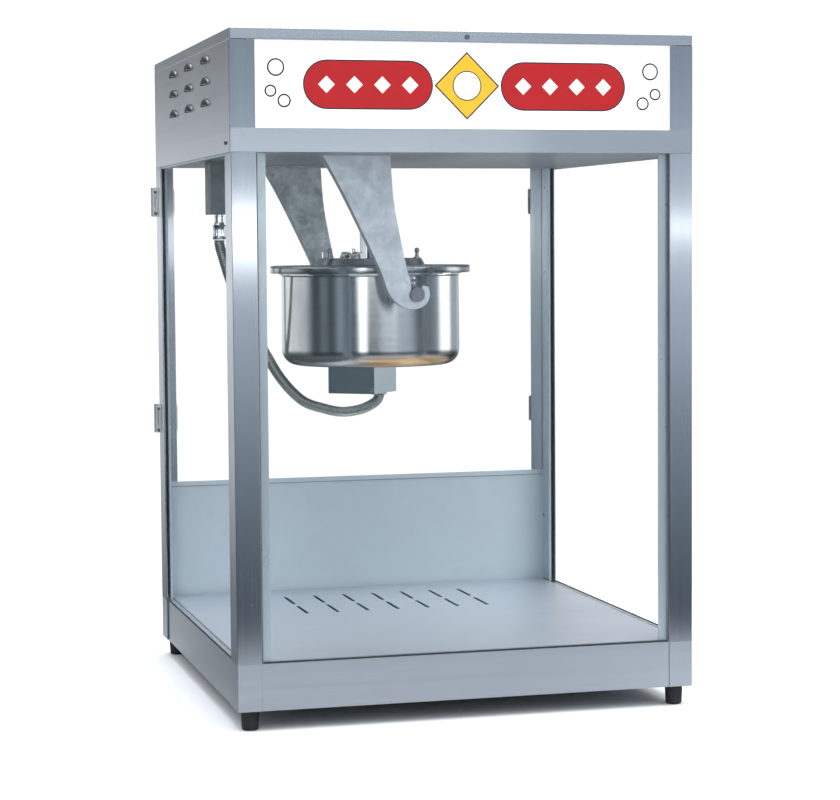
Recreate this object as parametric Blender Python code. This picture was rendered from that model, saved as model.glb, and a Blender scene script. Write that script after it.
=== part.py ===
"""Counter-top popcorn maker: a glazed steel cabinet, a header that carries the drive, and a
kettle that hangs between two arms and tips to the right.

Metres, +Z up, the front faces -Y. The origin is under the middle of the object's box, on the
surface that the feet stand on. Rest: doors, drawer and lids shut, kettle upright in its drive.
"""

import math

import bmesh
import bpy
from mathutils import Matrix, Vector

# ---------------------------------------------------------------- driving dimensions
CABINET = 0.711  # width and depth of the square cabinet
REAR_PROUD = 0.032  # how far the door pulls stand behind the cabinet
FOOT_H = 0.030
BASE_TOP = 0.100
HEADER_BOTTOM = 0.848
TOP = 1.026
COVER_FLANGE = 0.0165  # the top cover's turned-down edge

SHEET = 0.002  # sheet metal
GAP = 0.0003  # between pieces that touch
GLASS = 0.005

POST = 0.037  # front leg of a corner post's angle
POST_SIDE = 0.051  # its side leg
REAR_LEG = 0.030  # the rear posts' narrower leg, on the rear face
FOOT_INSET = 0.022
FOOT_R = 0.0135

APRON_TOP = 0.301
DOOR_LAP = 0.008  # how far the doors lap over the apron and the header
DOOR_T = 0.005

SIGN_HALF_W = 0.319
SIGN_LOW = 0.8825
LOUVRE_COLUMNS = (-0.150, 0.0, 0.150)  # from the middle of the cabinet, along Y
LOUVRE_LIPS = (0.925, 0.9575, 0.990)  # height of each row's open lower edge
LOUVRE_L = 0.048
LOUVRE_H = 0.0055
COVER_SCREW_Z = 1.0173

KETTLE_X = -0.0624
SHELL_R = 0.145
SHELL_BOTTOM = 0.519
SHELL_TOP = 0.664
SHELL_CORNER = 0.026
PAN_R = 0.1405
PAN_BOTTOM = 0.546
PAN_T = 0.003
LID_R = 0.1625
LID_Z = 0.6795  # top of the lids' flat rim
DOME_R = 0.084
DOME_Z = 0.691
RIM_LOW = 0.6675
STRIP_HALF = 0.0308  # half width of the fixed strip between the lids
LID_HINGE_Z = 0.6965

TRUNNION_X = -0.049
TRUNNION_Z = 0.6365
PIN_R = 0.0085
HANGER_Y = 0.240  # each hanger's middle, from the middle of the cabinet
HANGER_T = 0.003
HANGER_FLANGE = 0.020

SHAFT_R = 0.005
BLADE_TOP = 0.835
COUPLING_LOW = 0.823
COUPLING_TOP = 0.845

HALF = CABINET / 2
FRONT = -(CABINET + REAR_PROUD) / 2
REAR = FRONT + CABINET
MID = FRONT + HALF

HINGE_X = HALF + 0.0045
HINGE_Y = REAR + 0.0045
BARREL_R = 0.0045
HINGES = (("upper", 0.764), ("lower", 0.388))  # each hinge's lower end
HINGE_H = 0.050

TERMINAL_X = -0.0768
TERMINAL_TURN = -38  # degrees about Z
SOCKET_X = -0.2935
PLUG_X = -0.3015
PLUG_Y = MID + 0.045
CONDUIT_R = 0.0085
# From the plug under the socket box down, round and up into the terminal box.
CONDUIT_ROUTE = [
    (PLUG_X, PLUG_Y, 0.7218),
    (PLUG_X, PLUG_Y, 0.715),
    (PLUG_X + 0.0040, PLUG_Y, 0.699),
    (-0.2830, MID + 0.042, 0.651),
    (-0.2570, MID + 0.036, 0.590),
    (-0.2310, MID + 0.030, 0.538),
    (-0.2050, MID + 0.025, 0.494),
    (-0.1730, MID + 0.018, 0.4605),
    (-0.1400, MID + 0.011, 0.4475),
    (-0.1100, MID + 0.007, 0.4415),
    (-0.0800, MID + 0.003, 0.4450),
    (-0.0580, MID + 0.001, 0.4550),
    (-0.0500, MID, 0.4640),
    (-0.0490, MID, 0.4727),
]

FINISHES = {  # colour, roughness, metallic
    "brushed_steel": ((0.60, 0.64, 0.69, 1.0), 0.34, 1.0),
    "polished_steel": ((0.74, 0.75, 0.76, 1.0), 0.14, 1.0),
    "galvanised": ((0.55, 0.62, 0.68, 1.0), 0.48, 0.9),
    "chrome": ((0.82, 0.83, 0.84, 1.0), 0.08, 1.0),
    "conduit": ((0.50, 0.51, 0.50, 1.0), 0.38, 1.0),
    "glass": ((0.90, 0.96, 0.95, 0.25), 0.03, 0.0),
    "acrylic": ((0.93, 0.93, 0.90, 1.0), 0.25, 0.0),
    "lamp": ((0.95, 0.95, 0.90, 1.0), 0.30, 0.0),
    "white_enamel": ((0.85, 0.85, 0.83, 1.0), 0.40, 0.0),
    "dark_casting": ((0.10, 0.11, 0.12, 1.0), 0.50, 0.3),
    "black_plastic": ((0.03, 0.03, 0.03, 1.0), 0.45, 0.0),
    "rubber": ((0.02, 0.02, 0.02, 1.0), 0.75, 0.0),
}


# ---------------------------------------------------------------- modelling helpers
def finish(obj, kind, smooth=False):
    """Gives an object its own material, and smooth shading if it is round."""
    colour, roughness, metallic = FINISHES[kind]
    material = bpy.data.materials.new(obj.name)
    material.use_nodes = True
    shader = material.node_tree.nodes["Principled BSDF"]
    shader.inputs["Base Color"].default_value = colour
    shader.inputs["Alpha"].default_value = colour[3]
    shader.inputs["Roughness"].default_value = roughness
    shader.inputs["Metallic"].default_value = metallic
    obj.data.materials.append(material)
    if smooth:
        obj.data.shade_smooth()
        obj.data.set_sharp_from_angle(angle=math.radians(35))
    return obj


def add(name, bm):
    """Turns a bmesh into a named object in the scene, its faces pointing out."""
    bmesh.ops.recalc_face_normals(bm, faces=bm.faces)
    mesh = bpy.data.meshes.new(name)
    bm.to_mesh(mesh)
    bm.free()
    obj = bpy.data.objects.new(name, mesh)
    bpy.context.scene.collection.objects.link(obj)
    return obj


def soften(obj, width, segments=1):
    bevel = obj.modifiers.new("edges", "BEVEL")
    bevel.width = width
    bevel.segments = segments
    bevel.limit_method = "ANGLE"
    bevel.angle_limit = math.radians(40)
    return obj


def block(name, x, y, z):
    """A box between the two ends given for each axis."""
    bm = bmesh.new()
    bmesh.ops.create_cube(bm, size=1.0)
    centre = [(a + b) / 2 for a, b in (x, y, z)]
    size = [abs(b - a) for a, b in (x, y, z)]
    bmesh.ops.scale(bm, vec=size, verts=bm.verts)
    bmesh.ops.translate(bm, vec=centre, verts=bm.verts)
    return add(name, bm)


PLANES = {
    "XY": lambda a, b, c: (a, b, c),
    "XZ": lambda a, b, c: (a, c, b),
    "YZ": lambda a, b, c: (c, a, b),
}


def prism(name, outline, plane, low, high):
    """An outline in one plane, extruded along the third axis from low to high."""
    place = PLANES[plane]
    bm = bmesh.new()
    start = [bm.verts.new(place(a, b, low)) for a, b in outline]
    end = [bm.verts.new(place(a, b, high)) for a, b in outline]
    bm.faces.new(start)
    bm.faces.new(end)
    for i in range(len(outline)):
        bm.faces.new((start[i - 1], start[i], end[i], end[i - 1]))
    return add(name, bm)


def turned(name, profile, centre, axis="Z", segments=48):
    """A closed profile of (radius, height) points, turned about an axis through centre."""
    place = {
        "X": lambda a, b, h: (h, a, b),
        "Y": lambda a, b, h: (b, h, a),
        "Z": lambda a, b, h: (a, b, h),
    }[axis]
    bm = bmesh.new()
    rings = []
    for radius, height in profile:
        angles = [math.tau * k / segments for k in range(segments)]
        if radius < 1e-6:
            rings.append([bm.verts.new(Vector(centre) + Vector(place(0, 0, height)))] * segments)
            continue
        rings.append(
            [
                bm.verts.new(
                    Vector(centre)
                    + Vector(place(radius * math.cos(a), radius * math.sin(a), height))
                )
                for a in angles
            ]
        )
    for i in range(len(rings)):
        before, after = rings[i - 1], rings[i]
        for k in range(segments):
            corners = []
            for vertex in (before[k - 1], before[k], after[k], after[k - 1]):
                if vertex not in corners:
                    corners.append(vertex)
            if len(corners) > 2:
                bm.faces.new(corners)
    return add(name, bm)


def rod(name, centre, radius, low, high, axis="Z", segments=24):
    """A plain cylinder between two heights along its axis."""
    profile = [(0, low), (radius, low), (radius, high), (0, high)]
    return turned(name, profile, centre, axis, segments)


def arc(centre, radius, start, end, steps):
    """Points along a circle in a plane, from one angle to another in degrees."""
    points = []
    for k in range(steps + 1):
        a = math.radians(start + (end - start) * k / steps)
        points.append((centre[0] + radius * math.cos(a), centre[1] + radius * math.sin(a)))
    return points


def smooth_through(points, steps):
    """A Catmull-Rom curve through the points, with some steps between each two."""
    pts = [Vector(p) for p in points]
    pts = [2 * pts[0] - pts[1]] + pts + [2 * pts[-1] - pts[-2]]
    curve = []
    for a, b, c, d in zip(pts, pts[1:], pts[2:], pts[3:]):
        for k in range(steps):
            t = k / steps
            curve.append(
                0.5
                * (
                    2 * b
                    + (c - a) * t
                    + (2 * a - 5 * b + 4 * c - d) * t**2
                    + (3 * b - a - 3 * c + d) * t**3
                )
            )
    curve.append(pts[-2])
    return curve


def tools(target, operation, *others):
    """Adds, cuts or keeps what other shapes share with the target, one after another."""
    for other in others:
        modifier = target.modifiers.new(operation.lower(), "BOOLEAN")
        modifier.operation = operation
        modifier.object = other
        other.hide_render = True
        other.display_type = "WIRE"
    return target


def tray(name, x, y, z, wall, open_side="top"):
    """A folded box with one side open, at the top or at the bottom."""
    z_inner = (z[0] + wall, z[1] + wall) if open_side == "top" else (z[0] - wall, z[1] - wall)
    body = block(name, x, y, z)
    hollow = block(
        name + ".hollow", (x[0] + wall, x[1] - wall), (y[0] + wall, y[1] - wall), z_inner
    )
    return tools(body, "DIFFERENCE", hollow)


def pivot(name, where, *objects):
    """An empty on a joint's axis, with the pieces that move about it as its children."""
    empty = bpy.data.objects.new(name, None)
    empty.location = where
    bpy.context.scene.collection.objects.link(empty)
    for obj in objects:
        obj.parent = empty
        obj.matrix_parent_inverse = Matrix.Translation(where).inverted()
    return empty


# ---------------------------------------------------------------- base
def base():
    inner = HALF - SHEET - GAP
    lip = 0.020
    y0, y1 = MID - inner, MID + inner
    pan = block("base_pan", (-inner, inner), (y0, y1), (FOOT_H, BASE_TOP))
    inside = (inner - SHEET, inner - lip)
    room = block(
        "base_pan.room",
        (-inside[0], inside[0]),
        (y0 + SHEET, y1 - SHEET),
        (FOOT_H + SHEET, BASE_TOP - SHEET),
    )
    mouth = block(
        "base_pan.mouth",
        (-inside[1], inside[1]),
        (y0 + lip, y1 - lip),
        (BASE_TOP - 2 * SHEET, BASE_TOP + SHEET),
    )
    drawer_gap = block(
        "base_pan.drawer_gap",
        (-0.206, 0.206),
        (y1 - 2 * SHEET, y1 + SHEET),
        (FOOT_H + SHEET + 0.0002, 0.088),
    )
    finish(tools(pan, "DIFFERENCE", room, mouth, drawer_gap), "brushed_steel")

    deck_half = inner - 0.012
    deck_z = (BASE_TOP + GAP, BASE_TOP + GAP + SHEET)
    deck = block(
        "corn_deck", (-deck_half, deck_half), (MID - deck_half, MID + deck_half), deck_z
    )
    for row in range(2):
        for column in range(7):
            x = (column - 3) * 0.052
            y = MID + 0.115 + row * 0.105
            slot = block(
                f"corn_deck.slot_{row}_{column}",
                (x - 0.003, x + 0.003),
                (y - 0.042, y + 0.042),
                (deck_z[0] - SHEET, deck_z[1] + SHEET),
            )
            tools(deck, "DIFFERENCE", slot)
    finish(deck, "brushed_steel")

    for side, sx in (("left", -1), ("right", 1)):
        for end, sy in (("front", -1), ("rear", 1)):
            centre = (sx * (HALF - FOOT_INSET), MID + sy * (HALF - FOOT_INSET), 0)
            profile = [(0, 0), (FOOT_R - 0.0045, 0)]
            profile += arc((FOOT_R - 0.0045, 0.0035), 0.0035, -60, 0, 2)
            profile += [(FOOT_R, FOOT_H - 0.008), (FOOT_R, FOOT_H - GAP), (0, FOOT_H - GAP)]
            finish(turned(f"foot_{end}_{side}", profile, centre, segments=24), "rubber", True)

    # The drawer's tray, its overlapping face and a folded pull are one sheet-metal piece.
    y_face = (y1 + GAP, y1 + GAP + SHEET)
    floor = FOOT_H + SHEET + 0.0006
    y_tray = (y_face[1] - 0.300, y_face[1])
    drawer = tray("crumb_drawer", (-0.203, 0.203), y_tray, (floor, 0.084), 0.0015)
    face = block("crumb_drawer.face", (-0.214, 0.214), y_face, (FOOT_H + 0.004, 0.094))
    pull = block(
        "crumb_drawer.pull", (-0.045, 0.045), (y_face[0], y_face[1] + 0.018), (0.078, 0.080)
    )
    hem = block(
        "crumb_drawer.hem",
        (-0.045, 0.045),
        (y_face[1] + 0.016, y_face[1] + 0.018),
        (0.068, 0.079),
    )
    finish(tools(drawer, "UNION", face, pull, hem), "brushed_steel")
    pivot("drawer_slide_axis", (0, REAR, (floor + 0.084) / 2), drawer)


# ---------------------------------------------------------------- cabinet frame and glazing
def frame():
    z = (FOOT_H, HEADER_BOTTOM - GAP)
    for side, sx in (("left", -1), ("right", 1)):
        for end, sy in (("front", -1), ("rear", 1)):
            leg = POST if end == "front" else REAR_LEG
            corners = [
                (0, 0),
                (leg, 0),
                (leg, SHEET),
                (SHEET, SHEET),
                (SHEET, POST_SIDE),
                (0, POST_SIDE),
            ]
            outline = [(sx * (HALF - a), MID + sy * (HALF - b)) for a, b in corners]
            post = prism(f"post_{end}_{side}", outline, "XY", *z)
            finish(soften(post, 0.0006), "brushed_steel")

    pane_z = (BASE_TOP + 2 * GAP, HEADER_BOTTOM - 2 * GAP)
    behind = SHEET + GAP
    glass = block(
        "glass_front",
        (-HALF + 0.0105, HALF - 0.0105),
        (FRONT + behind, FRONT + behind + GLASS),
        pane_z,
    )
    finish(soften(glass, 0.0006), "glass")
    for side, sx in (("left", -1), ("right", 1)):
        x = sorted((sx * (HALF - behind), sx * (HALF - behind - GLASS)))
        pane = block(f"glass_{side}", x, (FRONT + 0.010, REAR - 0.010), pane_z)
        finish(soften(pane, 0.0006), "glass")

    # Apron: a sheet whose top edge is folded into a hem on the inside.
    y0 = REAR - SHEET - GAP
    hem = 0.008
    outline = [
        (y0, BASE_TOP + GAP),
        (y0, APRON_TOP),
        (y0 - 2 * SHEET, APRON_TOP),
        (y0 - 2 * SHEET, APRON_TOP - hem),
        (y0 - SHEET, APRON_TOP - hem),
        (y0 - SHEET, BASE_TOP + GAP),
    ]
    finish(prism("rear_apron", outline, "YZ", -HALF + 0.0085, HALF - 0.0085), "brushed_steel")


# ---------------------------------------------------------------- header
def rocker(name, x, z):
    """A rocker that leans one way, on a pivot just inside the rear panel."""
    y = REAR - SHEET
    lean = Matrix.Rotation(math.radians(-7), 2)
    shape = [(-0.005, -0.008), (0.006, -0.0102), (0.0035, 0), (0.006, 0.0102), (-0.005, 0.008)]
    outline = [(y + (lean @ Vector(p)).x, z + (lean @ Vector(p)).y) for p in shape]
    piece = prism(name, outline, "YZ", x - 0.0055, x + 0.0055)
    pivot(name + "_axis", (x, y, z), finish(soften(piece, 0.0005), "black_plastic"))


def header():
    panel_z = (HEADER_BOTTOM, TOP - COVER_FLANGE - GAP)
    floor = block(
        "header_floor",
        (-HALF + SHEET + GAP, HALF - SHEET - GAP),
        (FRONT + SHEET + GAP, REAR - SHEET - GAP),
        (HEADER_BOTTOM, HEADER_BOTTOM + SHEET),
    )
    around = (HEADER_BOTTOM - 0.005, HEADER_BOTTOM + 0.01)
    shaft_hole = rod("header_floor.shaft_hole", (KETTLE_X, MID, 0), 0.009, *around)
    finish(tools(floor, "DIFFERENCE", shaft_hole), "brushed_steel")

    front = block("sign_frame", (-HALF, HALF), (FRONT, FRONT + SHEET), panel_z)
    window = block(
        "sign_frame.window",
        (-SIGN_HALF_W, SIGN_HALF_W),
        (FRONT - SHEET, FRONT + 2 * SHEET),
        (SIGN_LOW, TOP),
    )
    finish(tools(front, "DIFFERENCE", window), "brushed_steel")
    sign_y = FRONT + SHEET + GAP
    sign = block("sign_panel", (-0.330, 0.330), (sign_y, sign_y + 0.003), (0.876, 1.020))
    finish(sign, "acrylic")

    y = (FRONT + SHEET + GAP, REAR - SHEET - GAP)
    for side, sx in (("left", -1), ("right", 1)):
        x = sorted((sx * HALF, sx * (HALF - SHEET)))
        panel = block(f"header_{side}_panel", x, y, panel_z)
        for i, across in enumerate(LOUVRE_COLUMNS):
            for j, lip in enumerate(LOUVRE_LIPS):
                slot = block(
                    f"header_{side}_panel.slot_{i}_{j}",
                    (x[0] - SHEET, x[1] + SHEET),
                    (MID + across - LOUVRE_L / 2, MID + across + LOUVRE_L / 2),
                    (lip + 0.001, lip + 0.001 + LOUVRE_H),
                )
                tools(panel, "DIFFERENCE", slot)
        finish(panel, "brushed_steel")

    back = block("header_rear_panel", (-HALF, HALF), (REAR - SHEET, REAR), panel_z)
    switches = (("light", 0.150), ("motor", 0.195), ("heat", 0.240))
    for name, x in switches:
        hole = block(
            f"header_rear_panel.{name}_hole",
            (x - 0.0065, x + 0.0065),
            (REAR - 2 * SHEET, REAR + SHEET),
            (0.930 - 0.0125, 0.930 + 0.0125),
        )
        tools(back, "DIFFERENCE", hole)
        rocker(f"{name}_switch", x, 0.930)
    finish(back, "brushed_steel")

    cover = tray(
        "header_cover", (-HALF, HALF), (FRONT, REAR), (TOP - COVER_FLANGE, TOP), SHEET, "bottom"
    )
    finish(soften(cover, 0.0008, 2), "brushed_steel")
    # The bevel belongs before the hollow is cut, so that only the outer edges are rounded.
    cover.modifiers.move(1, 0)
    seat = rod(
        "header_cover.screw_seat", (0, FRONT, COVER_SCREW_Z), 0.0042, -0.001, 0.001, "Y", 20
    )
    tools(cover, "DIFFERENCE", seat)

    lamp_y = FRONT + 0.075
    batten = block(
        "sign_lamp_batten",
        (-0.262, 0.262),
        (lamp_y - 0.016, lamp_y + 0.016),
        (HEADER_BOTTOM + SHEET + GAP, 0.880),
    )
    for side, sx in (("left", -1), ("right", 1)):
        x = sorted((sx * 0.250, sx * 0.262))
        holder = block(
            f"sign_lamp_batten.{side}", x, (lamp_y - 0.012, lamp_y + 0.012), (0.878, 0.925)
        )
        tools(batten, "UNION", holder)
    finish(batten, "white_enamel")
    tube = rod("sign_lamp_tube", (0, lamp_y, 0.908), 0.013, -0.2495, 0.2495, "X")
    finish(tube, "lamp", True)

    gearbox = block(
        "gear_motor",
        (KETTLE_X - 0.045, KETTLE_X + 0.045),
        (MID - 0.055, MID + 0.055),
        (HEADER_BOTTOM + SHEET + GAP, 0.905),
    )
    can = rod("gear_motor.can", (KETTLE_X, MID, 0), 0.036, 0.903, 0.985, segments=32)
    bearing = rod("gear_motor.bearing", (KETTLE_X, MID, 0), 0.0066, 0.840, 0.869)
    tools(gearbox, "UNION", can)
    finish(tools(gearbox, "DIFFERENCE", bearing), "dark_casting")

    gland_x, gland_z = 0.300, 0.895
    profile = [
        (0.0055, GAP),
        (0.0140, GAP),
        (0.0140, 0.003),
        (0.0110, 0.003),
        (0.0110, 0.012),
        (0.0085, 0.020),
        (0.0055, 0.020),
    ]
    gland = turned("cord_gland", profile, (gland_x, REAR, gland_z), "Y", 24)
    finish(gland, "black_plastic", True)

    catch = block("door_catch", (-0.026, 0.026), (REAR - 0.022, REAR - 0.001), (0.834, 0.8477))
    finish(soften(catch, 0.001), "black_plastic")


# ---------------------------------------------------------------- rear doors
def hinge(side, sx, level, low):
    """A butt hinge: the fixed leaf carries the pin, the door's leaf turns on it."""
    centre = (sx * HINGE_X, HINGE_Y, 0)
    third = HINGE_H / 3
    leaf = sorted((sx * (HALF + GAP), sx * (HALF + GAP + 0.0015)))
    fixed = block(
        f"hinge_{level}_{side}_fixed", leaf, (REAR - 0.022, REAR + 0.003), (low, low + HINGE_H)
    )
    middle = block(
        fixed.name + ".middle",
        (leaf[0] - 0.003, leaf[1] + 0.003),
        (REAR - 0.0005, REAR + 0.010),
        (low + third - GAP, low + 2 * third + GAP),
    )
    top = low + HINGE_H
    ends = [
        rod(fixed.name + ".low", centre, BARREL_R, low, low + third - GAP, segments=16),
        rod(fixed.name + ".high", centre, BARREL_R, top - third + GAP, top, segments=16),
        rod(fixed.name + ".pin", centre, 0.002, low + 0.002, top - 0.002, segments=12),
    ]
    tools(fixed, "DIFFERENCE", middle)
    finish(tools(fixed, "UNION", *ends), "polished_steel", True)

    y = (REAR + 0.0005 + DOOR_T + GAP, REAR + 0.0005 + DOOR_T + GAP + 0.0015)
    x = sorted((sx * (HALF - 0.0005), sx * (HALF - 0.026)))
    moving = block(f"hinge_{level}_{side}_door", x, y, (low, low + HINGE_H))
    tab = block(
        moving.name + ".tab",
        sorted((sx * HINGE_X, sx * (HALF - 0.002))),
        y,
        (low + third, low + 2 * third),
    )
    height = (low + third, low + 2 * third)
    barrel = rod(moving.name + ".barrel", centre, BARREL_R, *height, segments=16)
    bore = rod(moving.name + ".bore", centre, 0.0023, low, low + HINGE_H, segments=12)
    tools(moving, "UNION", tab, barrel)
    return finish(tools(moving, "DIFFERENCE", bore), "polished_steel", True)


def doors():
    y0 = REAR + 0.0005
    for side, sx in (("left", -1), ("right", 1)):
        x = sorted((sx * 0.0015, sx * (HALF - 0.0015)))
        pane = block(
            f"door_{side}_pane",
            x,
            (y0, y0 + DOOR_T),
            (APRON_TOP - DOOR_LAP, HEADER_BOTTOM + DOOR_LAP),
        )
        finish(soften(pane, 0.0006), "glass")
        leaves = [hinge(side, sx, level, low) for level, low in HINGES]
        # Pull: a bent strap with two feet.
        outer = REAR + REAR_PROUD
        inner = y0 + DOOR_T + GAP
        z0, z1, t = 0.560, 0.665, 0.0025
        outline = [
            (inner, z0),
            (inner, z0 + 0.018),
            (inner + t, z0 + 0.018),
            (outer - t, z0 + 0.024),
            (outer - t, z1 - 0.024),
            (inner + t, z1 - 0.018),
            (inner, z1 - 0.018),
            (inner, z1),
            (inner + t, z1),
            (inner + t, z1 - 0.0155),
            (outer, z1 - 0.0215),
            (outer, z0 + 0.0215),
            (inner + t, z0 + 0.0155),
            (inner + t, z0),
        ]
        x_pull = sorted((sx * 0.030, sx * 0.046))
        pull = prism(f"door_{side}_pull", outline, "YZ", *x_pull)
        finish(pull, "polished_steel")
        pivot(f"{side}_door_axis", (sx * HINGE_X, HINGE_Y, 0.57), pane, pull, *leaves)


# ---------------------------------------------------------------- hangers
def hanger_edges():
    """The arm's left edge down to the tip of its hook, and its right edge back up."""
    top = HEADER_BOTTOM - GAP
    slot_r = PIN_R + 0.0004
    left = [(-0.194, top), (-0.163, 0.792), (-0.1245, 0.714), (-0.104, 0.669), (-0.092, 0.637)]
    left += [(-0.073, 0.619), (-0.052, 0.614), (-0.036, 0.620), (-0.0285, 0.633), (-0.0300, 0.648)]
    left = [tuple(p) for p in smooth_through(left, 3)]
    right = [(TRUNNION_X + slot_r, 0.650)]
    right += arc((TRUNNION_X, TRUNNION_Z), slot_r, 0, -180, 8)
    right += [(TRUNNION_X - slot_r, 0.649)]
    back_up = [(-0.0645, 0.676), (-0.076, 0.731), (-0.085, 0.785), (-0.089, top)]
    right += [tuple(p) for p in smooth_through(back_up, 2)]
    return left, right


def hangers():
    left, right = hanger_edges()
    for end, sy in (("front", -1), ("rear", 1)):
        outer = MID + sy * (HANGER_Y + HANGER_T / 2)
        inner = MID + sy * (HANGER_Y - HANGER_T / 2)
        y = sorted((outer, inner))
        arm = prism(f"hanger_{end}", left + right, "XZ", *y)
        # The left edge is folded towards the kettle, down to the bottom of the hook.
        edge = left[:-8]
        fold = []
        for i, point in enumerate(edge):
            before = Vector(edge[max(i - 1, 0)])
            after = Vector(edge[min(i + 1, len(edge) - 1)])
            along = (after - before).normalized()
            inward = Vector(point) + Vector((-along.y, along.x)) * HANGER_T
            fold.append((inward.x, min(inward.y, HEADER_BOTTOM - GAP)))
        y_fold = sorted((outer, inner - sy * (HANGER_FLANGE - HANGER_T)))
        strip = prism(arm.name + ".fold", edge + fold[::-1], "XZ", *y_fold)
        y_foot = sorted((outer, inner - sy * 0.024))
        top = HEADER_BOTTOM - GAP
        foot = block(arm.name + ".foot", (-0.190, -0.089), y_foot, (top - HANGER_T, top))
        finish(tools(arm, "UNION", strip, foot), "galvanised")


# ---------------------------------------------------------------- kettle
def cover_profile():
    t = 0.0025
    return [
        (0, DOME_Z),
        (DOME_R, DOME_Z),
        (DOME_R + 0.006, LID_Z),
        (LID_R - 0.004, LID_Z),
        (LID_R - 0.0012, LID_Z - 0.0012),
        (LID_R, LID_Z - 0.004),
        (LID_R, RIM_LOW),
        (LID_R - 0.002, RIM_LOW),
        (LID_R - 0.002, LID_Z - 0.004),
        (LID_R - 0.004, LID_Z - t),
        (DOME_R + 0.0045, LID_Z - t),
        (DOME_R - 0.0015, DOME_Z - t),
        (0, DOME_Z - t),
    ]


def cover_part(name, x):
    """The stretch of the round cover between two distances from the kettle's axis."""
    disc = turned(name, cover_profile(), (KETTLE_X, MID, 0), segments=56)
    keep = block(
        name + ".keep", (KETTLE_X + x[0], KETTLE_X + x[1]), (MID - 0.2, MID + 0.2), (0.6, 0.75)
    )
    return tools(disc, "INTERSECT", keep)


def lid(side, sx):
    reach = sorted((sx * (STRIP_HALF + GAP + 0.0002), sx * 0.2))
    piece = cover_part(f"lid_{side}", reach)
    hinge_x = KETTLE_X + sx * 0.031
    extra = []
    for k, y in enumerate((-0.0375, 0.0375)):
        barrel = rod(
            f"{piece.name}.barrel_{k}",
            (hinge_x, MID, LID_HINGE_Z),
            0.005,
            y - 0.0170,
            y + 0.0170,
            "Y",
            16,
        )
        web = block(
            f"{piece.name}.web_{k}",
            sorted((hinge_x + sx * 0.0003, hinge_x + sx * 0.0048)),
            (MID + y - 0.0165, MID + y + 0.0165),
            (DOME_Z - 0.001, LID_HINGE_Z),
        )
        extra += [barrel, web]
    knob_x = KETTLE_X + sx * (0.079 if sx > 0 else 0.067)
    knob = turned(
        piece.name + ".knob",
        [
            (0, DOME_Z - 0.001),
            (0.0032, DOME_Z - 0.001),
            (0.0032, DOME_Z + 0.009),
            (0.0045, DOME_Z + 0.012),
            (0.0032, DOME_Z + 0.015),
            (0, DOME_Z + 0.015),
        ],
        (knob_x, MID, 0),
        segments=16,
    )
    bore = rod(
        f"{piece.name}.bore", (hinge_x, MID, LID_HINGE_Z), 0.0024, -0.060, 0.060, "Y", 12
    )
    tools(piece, "UNION", *extra, knob)
    finish(tools(piece, "DIFFERENCE", bore), "polished_steel", True)
    pivot(f"lid_{side}_axis", (hinge_x, MID, LID_HINGE_Z), piece)
    return piece


def crossbar():
    """The fixed strip of the cover, with the lids' hinge pins and the shaft's tower."""
    strip = cover_part("kettle_crossbar", (-STRIP_HALF, STRIP_HALF))
    extra = []
    for sx in (-1, 1):
        x = KETTLE_X + sx * 0.031
        extra.append(
            rod(f"{strip.name}.pin{sx}", (x, MID, LID_HINGE_Z), 0.002, -0.062, 0.062, "Y", 12)
        )
        for k, y in enumerate((-0.0590, 0, 0.0590)):
            extra.append(
                block(
                    f"{strip.name}.lug{sx}_{k}",
                    sorted((x - sx * 0.009, x - sx * 0.0003)),
                    (MID + y - 0.0035, MID + y + 0.0035),
                    (DOME_Z - 0.001, LID_HINGE_Z + 0.003),
                )
            )
    legs = (0.0083, 0.0149)
    tower_top = 0.764
    outline = [
        (-legs[1], DOME_Z - 0.001),
        (-legs[0], DOME_Z - 0.001),
        (-legs[0], tower_top - 0.008),
        (legs[0], tower_top - 0.008),
        (legs[0], DOME_Z - 0.001),
        (legs[1], DOME_Z - 0.001),
        (legs[1], tower_top),
        (-legs[1], tower_top),
    ]
    outline = [(KETTLE_X + a, b) for a, b in outline]
    extra.append(prism(strip.name + ".tower", outline, "XZ", MID - 0.008, MID + 0.008))
    extra.append(
        rod(
            strip.name + ".stud",
            (KETTLE_X - 0.0235, MID + 0.0145, 0),
            0.003,
            DOME_Z - 0.001,
            DOME_Z + 0.015,
            segments=12,
        )
    )
    bore = rod(strip.name + ".bore", (KETTLE_X, MID, 0), SHAFT_R + 0.0004, 0.66, 0.78, segments=20)
    tools(strip, "UNION", *extra)
    return finish(tools(strip, "DIFFERENCE", bore), "polished_steel", True)


def trunnion(end, sy):
    """A saddle on the shell with a stub shaft that lies in the hanger's hook."""
    name = f"trunnion_{end}"
    near, far = 0.150, 0.247
    plate = HANGER_Y + HANGER_T / 2
    profile = [
        (0, near),
        (PIN_R, near),
        (PIN_R, HANGER_Y - 0.0085),
        (0.012, HANGER_Y - 0.0085),
        (0.012, HANGER_Y - HANGER_T / 2 - 0.0005),
        (PIN_R, HANGER_Y - HANGER_T / 2 - 0.0005),
        (PIN_R, plate + 0.0005),
        (0.0115, plate + 0.0005),
        (0.0115, far - 0.001),
        (0.0105, far),
        (0, far),
    ]
    profile = [(r, sy * y) for r, y in profile]
    pin = turned(name, profile, (TRUNNION_X, MID, TRUNNION_Z), "Y", 24)
    saddle = block(
        name + ".saddle",
        (TRUNNION_X - 0.017, TRUNNION_X + 0.017),
        sorted((MID + sy * 0.120, MID + sy * 0.153)),
        (TRUNNION_Z - 0.015, TRUNNION_Z + 0.015),
    )
    shell = rod(name + ".shell", (KETTLE_X, MID, 0), SHELL_R + GAP, 0.5, 0.75, segments=96)
    tools(pin, "UNION", soften(saddle, 0.002))
    return finish(tools(pin, "DIFFERENCE", shell), "polished_steel", True)


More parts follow.
